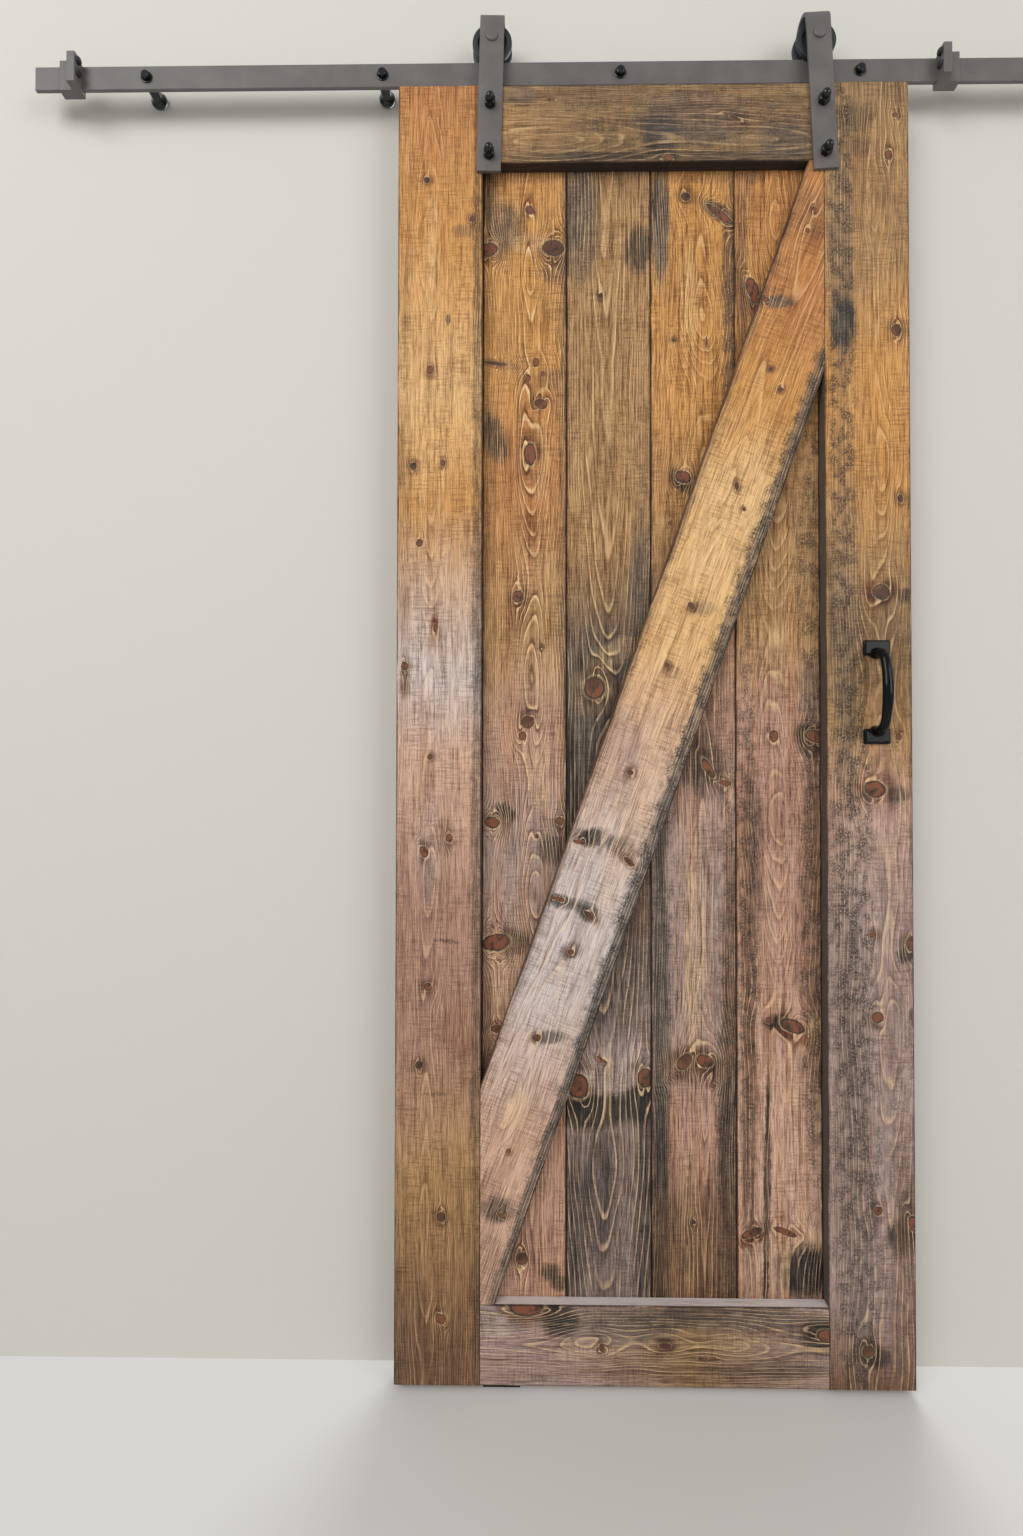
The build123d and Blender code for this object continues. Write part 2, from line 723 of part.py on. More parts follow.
def make_handle_bolt(z):
    """A machine bolt from behind the door into a foot of the handle."""
    end = door_front - handle_bolt_depth + handle_bolt_end_gap
    head_end = door_back + handle_bolt_head_height
    bolt = rod_y(handle_bolt_diameter - 2 * bolt_fit, end, door_back + 1, handle_x, z)
    bolt += rod_y(handle_bolt_head_diameter, door_back, head_end, handle_x, z)
    socket_floor = head_end - handle_bolt_socket_depth
    return bolt - hex_y(handle_bolt_socket, socket_floor, head_end + 1, handle_x, z)


# Discs that stop the wheels from jumping off the rail

def disc_places():
    return [left_axle_x - disc_from_axle, right_axle_x + disc_from_axle]


def disc_screw(x, spare=0.0):
    head_z = door_top + disc_thickness - screw_head_sink
    screw = wood_screw(0, 0, 0, disc_screw_length, spare)
    return Pos(x, disc_y, head_z) * Rot(90, 0, 0) * screw


def make_disc(x):
    disc = Pos(x, disc_y, door_top + disc_thickness / 2) * Cylinder(disc_diameter / 2, disc_thickness)
    mouth = Pos(x, disc_y, door_top + disc_thickness)
    mouth = mouth * Cylinder(screw_head_diameter / 2 + screw_hole_fit, 2 * screw_head_sink)
    return disc - disc_screw(x, screw_hole_fit) - mouth


# Floor guide

def guide_screw_places():
    return [guide_x - guide_screw_pitch / 2, guide_x + guide_screw_pitch / 2]


def guide_screw(x, spare=0.0):
    head_z = floor_z + guide_plate - guide_screw_sink
    screw = wood_screw(0, 0, 0, guide_screw_length, spare)
    return Pos(x, guide_screw_y, head_z) * Rot(90, 0, 0) * screw


def make_floor_guide():
    """A tee of steel: a flat plate and a fin that stands in the door's groove."""
    half_length = guide_length / 2
    half_fin = guide_fin_thickness / 2
    plate = block(guide_x - half_length, guide_x + half_length, guide_front,
                  guide_front + guide_width, floor_z, floor_z + guide_plate)
    fin_top = floor_z + guide_plate + guide_fin_height
    fin = block(guide_x - half_length, guide_x + half_length, door_joint - half_fin,
                door_joint + half_fin, floor_z + guide_plate - 1, fin_top)
    fin_ends = [e for e in fin.edges().filter_by(Axis.Y) if e.center().Z > fin_top - 0.1]
    fin = fillet(fin_ends, 4 * guide_fin_round)
    guide = plate + fin
    for x in guide_screw_places():
        guide -= guide_screw(x, screw_hole_fit)
        mouth_z = floor_z + guide_plate
        guide -= (Pos(x, guide_screw_y, mouth_z)
                  * Cylinder(screw_head_diameter / 2 + screw_hole_fit, 2 * guide_screw_sink))
    return guide


def build_nodes():
    nodes = {"rail": make_rail()}
    nodes["rail_spacers"] = solid_group(make_rail_spacer(x) for x in bolt_places)
    nodes["lag_bolts"] = solid_group(make_lag_bolt(x) for x in bolt_places)
    nodes["rail_washers"] = solid_group(make_rail_washer(x) for x in bolt_places)
    for name, (face, side) in stops.items():
        nodes[f"{name}_stop"] = make_stop(face, side)
        nodes[f"{name}_stop_buttons"] = solid_group(
            make_stop_button(face, side, z) for z in stop_button_places())
        nodes[f"{name}_stop_set_screws"] = solid_group(
            make_set_screw(face, side, z) for z in (-set_screw_offset, set_screw_offset))
    nodes["floor_guide"] = make_floor_guide()
    nodes["floor_guide_screws"] = solid_group(guide_screw(x) for x in guide_screw_places())
    nodes.update(make_boards())
    drops = (hanger_bolt_upper, hanger_bolt_lower)
    for name, place in hangers.items():
        nodes[f"{name}_hanger_strap"] = hang(make_strap(), *place)
        nodes[f"{name}_axle_bolt"] = hang(make_axle(), *place)
        nodes[f"{name}_axle_nut"] = hang(make_axle_nut(), *place)
        nodes[f"{name}_axle_bushes"] = solid_group(hang(make_axle_bush(s), *place) for s in (-1, 1))
        nodes[f"{name}_bearing_inner_ring"] = hang(make_inner_ring(), *place)
        nodes[f"{name}_bearing_outer_ring"] = hang(make_outer_ring(), *place)
        nodes[f"{name}_bearing_balls"] = solid_group(
            hang(make_ball(i), *place) for i in range(bearing_ball_count))
        nodes[f"{name}_bearing_shields"] = solid_group(hang(make_shield(s), *place) for s in (-1, 1))
        nodes[f"{name}_wheel"] = hang(make_wheel(), *place)
        nodes[f"{name}_hanger_bolts"] = solid_group(
            hang(make_hanger_bolt(drop), *place) for drop in drops)
        nodes[f"{name}_dome_nuts"] = solid_group(hang(make_dome_nut(drop), *place) for drop in drops)
    nodes["pull_handle"] = make_handle()
    nodes["handle_bolts"] = solid_group(make_handle_bolt(z) for z in handle_bolt_places())
    nodes["anti_jump_discs"] = solid_group(make_disc(x) for x in disc_places())
    nodes["anti_jump_screws"] = solid_group(disc_screw(x) for x in disc_places())
    head_y = door_back - screw_head_sink
    nodes["board_screws"] = solid_group(
        wood_screw(head_y, x, z, screw_length) for x, z in screw_places())
    return nodes


for node_name, shape in build_nodes().items():
    export_step(shape, f"parts/{node_name}.step")
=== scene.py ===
"""A sliding plank door on a flat steel rail: stained boards, strap hangers, pull and studio."""

import json
from math import acos, atan2, cos, degrees, pi, radians, sin, sqrt, tan

import bmesh
import bpy
from mathutils import Matrix, Vector


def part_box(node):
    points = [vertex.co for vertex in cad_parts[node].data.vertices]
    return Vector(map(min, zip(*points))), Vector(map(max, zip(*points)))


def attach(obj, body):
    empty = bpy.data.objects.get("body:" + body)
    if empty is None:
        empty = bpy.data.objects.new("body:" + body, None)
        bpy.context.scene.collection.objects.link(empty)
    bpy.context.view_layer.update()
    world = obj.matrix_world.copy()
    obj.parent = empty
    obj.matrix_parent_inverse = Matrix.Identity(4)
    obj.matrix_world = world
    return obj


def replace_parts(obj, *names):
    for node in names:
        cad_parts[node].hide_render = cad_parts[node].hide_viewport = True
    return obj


bl_info = {
    "name": "Sliding plank door",
    "version": (1, 0, 0),
    "blender": (4, 5, 0),
    "location": "3D View > Sidebar > Plank Door",
    "description": "Dresses a sliding plank door, its hangers and its rail, and sets up a small studio",
    "category": "Object",
}

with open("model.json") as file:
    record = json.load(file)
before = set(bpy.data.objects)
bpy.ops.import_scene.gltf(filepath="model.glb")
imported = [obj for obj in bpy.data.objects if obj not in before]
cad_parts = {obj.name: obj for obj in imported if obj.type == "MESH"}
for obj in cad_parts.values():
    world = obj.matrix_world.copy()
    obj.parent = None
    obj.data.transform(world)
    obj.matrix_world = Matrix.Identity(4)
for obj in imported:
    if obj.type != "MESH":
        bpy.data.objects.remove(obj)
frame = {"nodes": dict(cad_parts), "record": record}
MM = 0.001
DOOR_MIDDLE = sum(sum(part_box(n)[i].x for i in (0, 1)) / 2 for n in ("left_stile", "right_stile")) / 2
DOOR_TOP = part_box("left_stile")[1].z
BRACE_TURN = radians(19.5)
RAIL_TURN = pi / 2
SLOTS = {part["node"]: part["material_slot"] for part in frame["record"]["subparts"]}

# The photograph's size in pixels, and the camera that was fitted to the door in it
PHOTO_WIDTH, PHOTO_HEIGHT = 1023, 1536
SENSOR_SIZE, FOCAL_LENGTH = 36.0, 15.34
CAMERA_PLACE = Vector((-0.1692, -1.1292, -1.1821))
CAMERA_TURNS = (-0.0108, 0.0133, 0.0016)


def tone(label, red, green, blue):
    """A colour property, given as the red, green and blue of a paint chart, 0 to 255."""
    linear = [((v / 255 + 0.055) / 1.055) ** 2.4 for v in (red, green, blue)]
    return bpy.props.FloatVectorProperty(name=label.capitalize(), description=f"Colour of the {label}",
                                         default=linear, min=0, max=1, size=3, subtype="COLOR")


def length(label, metres, what):
    return bpy.props.FloatProperty(name=label, description=what, default=metres, min=0,
                                   subtype="DISTANCE", unit="LENGTH")


def share(label, value, what):
    return bpy.props.FloatProperty(name=label, description=what, default=value, min=0, max=1,
                                   subtype="FACTOR")


class PineTones(bpy.types.PropertyGroup):
    """The stain's colours, from the palest grain line to the blackest knot. Some also paint shade and sheen.
    """
    cream: tone("palest grain", 242, 204, 150)
    straw: tone("straw stain", 238, 190, 128)
    honey: tone("yellow stain", 214, 154, 80)
    amber: tone("orange stain", 198, 132, 72)
    tan: tone("tan stain", 182, 140, 90)
    olive: tone("grey-green stain", 148, 117, 78)
    clay: tone("pink-brown stain and painted shade", 196, 153, 133)
    blush: tone("pale pink-brown stain and painted shade", 220, 180, 156)
    # Ash is silvery weathered wood, and also a painted cool sheen on the left stile, the third plank and the
    # bottom rail's top edge.
    ash: tone("silvery wood and painted sheen", 218, 204, 199)
    mauve: tone("grey-mauve wood", 176, 152, 145)
    umber: tone("brown stain and painted shade", 116, 81, 57)
    slate: tone("grey stain and painted shade", 88, 80, 75)
    char: tone("black stain and painted shade", 36, 30, 28)
    bark: tone("knot rim", 56, 36, 25)
    rust: tone("red knot", 134, 68, 40)


class PineGrain(bpy.types.PropertyGroup):
    """How the grain stands out."""
    ring_spacing: length("Ring spacing", 0.0040, "Distance between two growth rings")
    relief: length("Relief", 0.0005, "How far the hard grain stands above the soft grain")
    fibre: share("Fibre", 0.66, "How dark the pores between the fibres are")
    saw_marks: share("Saw marks", 0.5, "How strongly the mill's crosswise marks show")


class HardwareTones(bpy.types.PropertyGroup):
    """The finishes of the rail, the hangers and the pull."""
    powder: tone("grey powder coat", 98, 92, 89)
    oxide: tone("black oxide", 13, 13, 14)
    enamel: tone("black enamel", 9, 9, 10)
    nylon: tone("black nylon", 38, 38, 40)
    rubber: tone("black rubber", 30, 30, 30)
    steel: tone("ground steel", 196, 196, 198)
    zinc: tone("zinc plate", 186, 188, 192)


class StudioSet(bpy.types.PropertyGroup):
    """Floor, backdrop, lamps and camera."""
    floor_size: length("Floor size", 9.0, "Side of the square floor")
    backdrop_gap: length("Backdrop gap", 0.0003, "Distance from the spacers' feet back to the backdrop")
    floor: tone("floor", 214, 210, 205)
    backdrop: tone("backdrop", 207, 203, 194)
    sky_tone: tone("sky", 208, 212, 215)
    key_power: bpy.props.FloatProperty(name="Key lamp", description="Power of the large lamp at the left",
                                       default=110, min=0, subtype="POWER", unit="POWER")
    fill_power: bpy.props.FloatProperty(name="Fill lamp", description="Power of the lamp at the right",
                                        default=56, min=0, subtype="POWER", unit="POWER")
    back_power: bpy.props.FloatProperty(name="Rear lamp", description="Power of the lamp behind",
                                        default=96, min=0, subtype="POWER", unit="POWER")
    sky: share("Ambient light", 0.78, "Strength of the even light from all round")
    lens: bpy.props.FloatProperty(name="Focal length", description="The camera's focal length",
                                  default=FOCAL_LENGTH, min=1, subtype="DISTANCE_CAMERA", unit="CAMERA")


SETTINGS = {"plank_tones": PineTones, "plank_grain": PineGrain, "plank_hardware": HardwareTones,
            "plank_studio": StudioSet}


# Shader maths

def add_node(tree, kind, settings=None, inputs=None, output=0):
    """Adds a node, sets it up, then fills or links its sockets, and returns one output."""
    made = tree.nodes.new(kind)
    for name, value in (settings or {}).items():
        if name == "stops":
            while len(made.color_ramp.elements) < len(value):
                made.color_ramp.elements.new(1.0)
            for stop, (place, colour) in zip(made.color_ramp.elements, value):
                stop.position = place
                stop.color = (*colour[:3], 1.0)
        else:
            setattr(made, name, value)
    for key, value in (inputs or {}).items():
        if isinstance(value, Field):
            tree.links.new(value.socket, made.inputs[key])
        elif made.inputs[key].type == "RGBA":
            made.inputs[key].default_value = (*value[:3], 1.0)
        else:
            made.inputs[key].default_value = value
    return Field(tree, made.outputs[output])


class Field:
    """A number, vector or colour in a node tree. Arithmetic on numbers adds Math nodes."""

    def __init__(self, tree, socket):
        self.tree, self.socket = tree, socket

    def math(self, operation, *values):
        return add_node(self.tree, "ShaderNodeMath", {"operation": operation}, dict(enumerate(values)))

    def __add__(self, other):
        return self.math("ADD", self, other)

    def __sub__(self, other):
        return self.math("SUBTRACT", self, other)

    def __rsub__(self, other):
        return self.math("SUBTRACT", other, self)

    def __mul__(self, other):
        return self.math("MULTIPLY", self, other)

    def __truediv__(self, other):
        return self.math("DIVIDE", self, other)

    def __rtruediv__(self, other):
        return self.math("DIVIDE", other, self)

    __radd__, __rmul__ = __add__, __mul__

    def vector(self, operation, *values, output=0):
        return add_node(self.tree, "ShaderNodeVectorMath", {"operation": operation},
                        dict(enumerate([self, *values])), output)

    def step(self, low, high):
        """A smooth step from 0 at low to 1 at high."""
        return add_node(self.tree, "ShaderNodeMapRange", {"interpolation_type": "SMOOTHSTEP"},
                        {"Value": self, "From Min": low, "From Max": high})

    def axis(self, index):
        return add_node(self.tree, "ShaderNodeSeparateXYZ", None, {0: self}, index)

    def noise(self, sizes, detail=2.0, roughness=0.5, output="Fac"):
        """Noise whose grains are about as large as sizes, in this vector's own units."""
        scaled = self.vector("DIVIDE", sizes)
        return add_node(self.tree, "ShaderNodeTexNoise", None,
                        {"Vector": scaled, "Scale": 1.0, "Detail": detail, "Roughness": roughness},
                        output)

    def local(self, place, turn, size):
        """This point as seen from a place, turned about y and measured in size."""
        return add_node(self.tree, "ShaderNodeMapping", {"vector_type": "TEXTURE"},
                        {"Vector": self, "Location": place, "Rotation": (0, turn, 0), "Scale": size})

    def blend(self, other, factor, mode="MIX"):
        """This colour, mixed with another."""
        return add_node(self.tree, "ShaderNodeMix", {"data_type": "RGBA", "blend_type": mode},
                        {0: factor, 6: self, 7: other}, 2)

    def ramp(self, stops):
        return add_node(self.tree, "ShaderNodeValToRGB", {"stops": stops}, {0: self})


class Finish:
    """A material with one Principled shader."""

    def __init__(self, name):
        self.material = bpy.data.materials.new(name)
        self.material.use_nodes = True
        self.tree = self.material.node_tree
        self.shader = self.tree.nodes["Principled BSDF"]

    def node(self, kind, settings=None, inputs=None, output=0):
        return add_node(self.tree, kind, settings, inputs, output)

    def point(self):
        """The surface point in millimetres."""
        spot = self.node("ShaderNodeTexCoord", output="Object")
        return spot.vector("MULTIPLY", (1000, 1000, 1000))

    def varied(self, factor, tone_value, low, high):
        """A tone that varies between two multiples of itself."""
        first, second = ([v * part for v in tone_value] for part in (low, high))
        return self.node("ShaderNodeMix", {"data_type": "RGBA"}, {0: factor, 6: first, 7: second}, 2)

    def set(self, **sockets):
        """Fills the shader's own sockets: base_color becomes Base Color."""
        for name, value in sockets.items():
            label = name.replace("_", " ")
            socket = next(s for s in self.shader.inputs if s.name.lower() == label)
            if isinstance(value, Field):
                self.tree.links.new(value.socket, socket)
            else:
                socket.default_value = (*value[:3], 1.0) if socket.type == "RGBA" else value
        return self.material

    def bump(self, height, depth, strength=1.0):
        """Relief from a height of 0 to 1 that stands depth metres high."""
        bump = self.node("ShaderNodeBump", None,
                         {"Strength": strength, "Distance": depth, "Height": height})
        self.tree.links.new(bump.socket, self.shader.inputs["Normal"])
        return self


def knot_group():
    """One knot: how far it pushes the grain aside, and how near the point is to its rim."""
    tree = bpy.data.node_groups.get("Knot")
    if tree:
        return tree
    tree = bpy.data.node_groups.new("Knot", "ShaderNodeTree")
    for label in ("Board", "Place", "Turn", "Size", "Flow Size"):
        tree.interface.new_socket(label, in_out="INPUT", socket_type="NodeSocketVector")
    for label in ("Reach", "Push In", "Rim In"):
        tree.interface.new_socket(label, in_out="INPUT", socket_type="NodeSocketFloat")
    for label in ("Push", "Rim"):
        tree.interface.new_socket(label, in_out="OUTPUT", socket_type="NodeSocketFloat")
    entry = tree.nodes.new("NodeGroupInput")
    given = {s.name: Field(tree, s) for s in entry.outputs if s.name}
    seen = [given["Board"].local(given["Place"], 0, given[size]) for size in ("Size", "Flow Size")]
    for field in seen:
        tree.links.new(given["Turn"].socket, field.socket.node.inputs["Rotation"])
    rim = given["Rim In"].math("MINIMUM", given["Rim In"], seen[0].vector("LENGTH", output="Value"))
    away = seen[1].vector("DOT_PRODUCT", seen[1], output="Value")
    push = given["Push In"] + seen[1].axis(0) * given["Reach"] / (away + 0.18)
    leave = tree.nodes.new("NodeGroupOutput")
    tree.links.new(push.socket, leave.inputs["Push"])
    tree.links.new(rim.socket, leave.inputs["Rim"])
    return tree


COMMON = {"length": 2133.6, "start": 0.0, "half_width": 69.85, "fibre": 1.0, "collar": 1.0,
          "line_from": 0.7, "warm": 0.3, "saw": 1.0, "arris": 3.2, "side": ("umber", 0.0),
          "knots": [], "stains_and_painted_light": [], "weather": [], "swells": [], "added_knots": [], "added_stains_and_painted_light": [],
          "added_weather": [], "added_swells": []}

# Knots, stains and weather were read in the photograph. Each row holds the column, the row, the
# half width and the half height in its pixels and the lean in degrees, then a stain's tone and strength
# or the weather's strength. Added rows were given in millimetres on the board instead: across,
# along, half width, half length, then the same. A swell has its column and row, or its place along the
# board where it was added, then its half length and its rise in millimetres. Drift runs down the upright
# boards, from left to right on the rails and up the brace.
# Drift stops hold each board's own tone together with painted light: warmer near the top of the door, and a
# cool painted sheen where the silvery tone stands.
BOARDS = {
    "left_stile": {
        "seed": 1, "pith": -18, "depth": 34, "wander": 26, "taper": 0.004, "spacing": 0.8, "line": 0.24,
        "blotch": 0.3, "fibre": 0.88, "warm": 0.12, "side": ("umber", 0.6),
        # This drift paints warm light on the stile's upper part and a cool painted sheen at its middle.
        "drift": [(0, "amber"), (0.12, "honey"), (0.24, "straw"), (0.33, "honey"), (0.46, "ash"),
                  (0.52, "blush"), (0.62, "clay"), (0.74, "clay"), (0.84, "tan"), (0.97, "umber")],
        "swells": [(432, 250, 120, -20), (432, 480, 90, -16), (435, 630, 100, 14), (440, 1200, 110, -16)],
        "added_swells": [(-1300, 110, -18), (-1560, 120, 12)],
        "knots": [(427, 180, 3.2, 3.2, 0), (472.5, 219, 3.3, 3.3, 0), (430, 370, 3.6, 4.2, 0),
                  (413.5, 466, 3.4, 4, 0), (443, 463, 2.6, 3.4, 0), (419.5, 543, 3.6, 3.6, 0),
                  (435, 628, 2, 4.5, 0), (404.5, 666, 3.8, 4.6, 0), (430, 757, 3, 3, 0),
                  (449.5, 838, 3.6, 4, 0), (424, 852, 4, 6, 20), (428, 987, 4, 4, 0),
                  (419, 1065, 3.6, 4.2, 0), (441, 1217, 4.4, 4.8, 0), (441, 1319, 5, 5.4, 20)],
        "stains_and_painted_light": [(463, 231, 9, 5, 0, "umber", 0.45), (448, 320, 2, 4, 0, "char", 0.6),
                   (405, 680, 4, 13, 0, "umber", 0.6), (435, 630, 4, 12, 0, "rust", 0.5),
                   (461, 1030, 15, 22, 0, "rust", 0.3), (446, 941, 9, 1.6, -4, "char", 0.5),
                   (435, 1094, 9, 1.6, 0, "char", 0.4), (432, 480, 14, 34, 0, "cream", 0.25),
                   (432, 250, 5, 44, 0, "cream", 0.4), (427, 845, 10, 40, 0, "ash", 0.3),
                   (404, 520, 5, 200, 0, "umber", 0.2), (445, 838, 9, 14, 0, "umber", 0.35),
                   (426, 870, 7, 24, 0, "slate", 0.25), (476, 700, 3, 620, 0, "char", 0.35)],
        "weather": [(476, 600, 4, 560, 0, 0.5), (404, 1100, 6, 260, 0, 0.25)],
        "added_stains_and_painted_light": [(0, -1500, 62, 150, 0, "umber", 0.22)],
    },
    "right_stile": {
        "seed": 2, "pith": 22, "depth": 36, "wander": 28, "taper": -0.004, "spacing": 0.95, "line": 0.34,
        "blotch": 0.45, "fibre": 0.85, "warm": 0.15, "side": ("slate", 0.75),
        "drift": [(0, "olive"), (0.06, "tan"), (0.14, "tan"), (0.22, "honey"), (0.3, "honey"),
                  (0.37, "tan"), (0.43, "olive"), (0.5, "tan"), (0.57, "clay"), (0.66, "mauve"),
                  (0.85, "mauve"), (0.94, "mauve"), (1, "umber")],
        "added_swells": [(-200, 100, -18), (-640, 110, -18), (-1000, 100, 14), (-1540, 110, -16),
                         (-1900, 120, 14)],
        "knots": [(888.5, 155, 4, 5, 0), (896.4, 330, 5.2, 6, 0), (845.6, 111, 2.4, 2.4, 0),
                  (895, 115, 3, 2.6, 30), (900.3, 498, 3, 4.2, 0), (881.3, 592, 8.4, 7.6, -15),
                  (898.8, 736.7, 3.4, 3.6, 0), (875, 789, 10.6, 8, -15), (872.8, 934.7, 3.4, 3.2, 0),
                  (912.5, 944, 6.4, 7.4, 0), (877.8, 1017.5, 6, 5.6, 0), (878.2, 1211, 4.4, 4.6, 0),
                  (868.5, 1351.7, 6.2, 6, 0), (914, 1224, 5, 8, 20)],
        "stains_and_painted_light": [(843, 323, 10, 22, 0, "char", 0.7), (841, 250, 9, 100, 0, "slate", 0.35),
                   (843, 560, 10, 160, 0, "slate", 0.25), (850, 900, 14, 190, 0, "slate", 0.25),
                   (856, 1200, 15, 160, 0, "slate", 0.3), (854, 118, 14, 12, 0, "char", 0.4),
                   (860, 147, 10, 8, 0, "umber", 0.5), (880, 400, 24, 70, 0, "honey", 0.3),
                   (907, 596, 9, 6, 0, "char", 0.55), (897, 795, 10, 6, 0, "char", 0.55),
                   (881, 592, 14, 9, 0, "rust", 0.4), (875, 789, 17, 11, 0, "rust", 0.4),
                   (905, 955, 7, 6, 0, "char", 0.6), (915, 1017, 5, 7, 0, "char", 0.55),
                   (906, 1238, 14, 14, 0, "char", 0.6), (877, 1358, 10, 8, 0, "char", 0.6),
                   (908, 1270, 9, 90, 0, "umber", 0.4), (915, 760, 4, 500, 0, "umber", 0.35),
                   (880, 860, 30, 60, 0, "ash", 0.25), (885, 1100, 28, 60, 0, "mauve", 0.3),
                   (880, 640, 20, 40, 0, "umber", 0.3)],
        "weather": [(842, 400, 11, 330, 0, 0.9), (852, 900, 18, 260, 0, 0.9),
                    (858, 1210, 20, 180, 0, 0.8), (905, 760, 14, 200, 0, 0.35),
                    (905, 1200, 14, 180, 0, 0.5), (880, 200, 40, 60, 0, 0.3)],
    },
    "back_plank_1": {
        "seed": 3, "pith": 10, "depth": 44, "wander": 40, "taper": 0.006, "spacing": 1.0, "line": 0.4,
        "blotch": 0.4,
        "drift": [(0, "tan"), (0.3, "amber"), (0.6, "clay"), (1, "umber")],
        "added_swells": [(-500, 140, -20), (-1300, 160, -20)],
        "added_knots": [(-30, -420, 9, 10, 0), (24, -980, 11, 9, 0), (-18, -1640, 12, 10, 0)],
    },
    "back_plank_2": {
        "seed": 4, "pith": 12, "depth": 26, "wander": 20, "taper": 0.0, "spacing": 0.85, "line": 0.55,
        "blotch": 0.25,
        "drift": [(0, "amber"), (0.1, "honey"), (0.2, "honey"), (0.3, "amber"), (0.42, "tan"),
                  (0.5, "clay"), (0.6, "mauve"), (0.72, "clay"), (0.86, "clay"), (1, "clay")],
        "swells": [(540, 575, 70, 14), (543, 673, 70, -12), (538, 774, 80, 14)],
        "added_swells": [(-300, 70, -14), (-600, 90, -16), (-1340, 70, -14), (-1600, 90, 14)],
        "knots": [(529, 210, 4, 4.6, 0), (553, 248, 11, 8, -8), (488, 250, 10, 7, 15),
                  (496, 363.5, 12, 2, -8), (536, 362.5, 3.4, 4.6, 0), (528, 378, 2.6, 4.4, 0),
                  (543, 374, 2, 2.4, 0), (541, 404, 6.6, 5, -20), (530, 454.5, 6, 11.5, 0),
                  (518, 596.5, 5.6, 6, 0), (541, 647, 2, 2, 0), (527.5, 722, 6, 6.6, -20),
                  (522.5, 736, 4, 4.6, 0), (492, 822.5, 8, 5.6, -10), (559.5, 821, 4.6, 4, 0),
                  (536.5, 836, 2.6, 2.6, 0), (496, 942.5, 14, 8.5, 10), (497, 1029, 6, 4, 0),
                  (522, 1258.5, 6, 6.4, 0)],
        # The second row here, in umber, is a painted shadow under the top rail.
        "stains_and_painted_light": [(489, 320, 6, 170, 0, "honey", 0.55), (525, 176, 42, 5.4, 0, "umber", 0.3),
                   # The first row here, in char, is painted shade in the plank's top corner under the top
                   # rail.
                   (489, 190, 7, 22, 0, "char", 0.5), (504, 227, 14, 18, 0, "slate", 0.5),
                   (556, 268, 10, 12, -20, "umber", 0.5), (493, 437, 10, 20, 20, "char", 0.6),
                   (552, 380, 12, 8, 0, "umber", 0.4), (531, 243, 16, 8, 0, "cream", 0.5),
                   (540, 460, 8, 30, 0, "cream", 0.35), (540, 575, 14, 26, 0, "cream", 0.3),
                   (543, 673, 9, 20, 0, "cream", 0.3), (538, 774, 10, 26, 0, "cream", 0.45),
                   (552, 850, 10, 12, 10, "char", 0.55), (505, 812, 10, 5, -30, "char", 0.6),
                   (513, 942, 12, 9, 0, "char", 0.55), (540, 1225, 24, 60, 0, "clay", 0.3),
                   (550, 1272, 8, 6, 0, "char", 0.6), (560, 1283, 7, 6, 0, "char", 0.6),
                   (505, 995, 14, 38, 0, "cream", 0.35), (528, 700, 36, 16, 0, "mauve", 0.2),
                   (487, 1040, 5, 60, 0, "umber", 0.5), (516, 610, 9, 20, 0, "rust", 0.35),
                   (495, 600, 10, 80, 0, "honey", 0.3), (565, 560, 4, 380, 0, "umber", 0.4)],
        "weather": [(504, 227, 14, 18, 0, 0.5), (563, 400, 6, 220, 0, 0.4), (550, 260, 14, 60, 0, 0.35),
                    (487, 640, 6, 300, 0, 0.3)],
    },
    "back_plank_3": {
        "seed": 5, "pith": -4, "depth": 16, "wander": 16, "taper": -0.03, "spacing": 1.1, "line": 0.42,
        "blotch": 0.35, "fibre": 1.2, "warm": 0.1,
        "drift": [(0, "olive"), (0.12, "tan"), (0.25, "tan"), (0.35, "tan"), (0.45, "slate"),
                  (0.6, "slate"), (0.72, "mauve"), (0.84, "mauve"), (1, "mauve")],
        "swells": [(594.5, 688, 80, 20)],
        "added_swells": [(-270, 60, -6), (-1800, 110, -10)],
        "knots": [(600.8, 295.7, 2.2, 3.2, 0), (594.5, 688, 10.5, 11, 0), (578, 1086, 10.5, 12.5, 10),
                  (645, 1078, 7.5, 9.5, 0), (602, 1060, 6, 2, -35)],
        "stains_and_painted_light": [(581, 219, 14, 46, 0, "slate", 0.6), (640, 250, 12, 18, 0, "char", 0.75),
                   (650, 267, 4, 6, 0, "cream", 0.6), (610, 330, 34, 110, 0, "tan", 0.35),
                   # The first row here, in umber, is a painted shadow under the top rail.
                   (610, 176, 42, 5.4, 0, "umber", 0.3), (642, 600, 10, 60, 0, "slate", 0.5),
                   (600, 720, 32, 70, 0, "slate", 0.55), (597, 668, 18, 8, 0, "char", 0.55),
                   (618, 710, 9, 20, 0, "char", 0.65), (594, 690, 18, 18, 0, "cream", 0.35),
                   (612, 655, 20, 10, 30, "cream", 0.4), (572, 800, 5, 60, 0, "char", 0.6),
                   # The first row here, in ash, is a painted sheen on the plank.
                   (622, 1068, 30, 28, 0, "ash", 0.5), (600, 1112, 26, 12, 10, "char", 0.9),
                   (640, 1105, 16, 14, -20, "char", 0.8), (578, 1110, 10, 14, 0, "char", 0.8),
                   (612, 1220, 40, 100, 0, "slate", 0.35), (600, 1190, 12, 50, 0, "char", 0.35),
                   (575, 1230, 8, 70, 0, "char", 0.45), (645, 1200, 7, 100, 0, "char", 0.5),
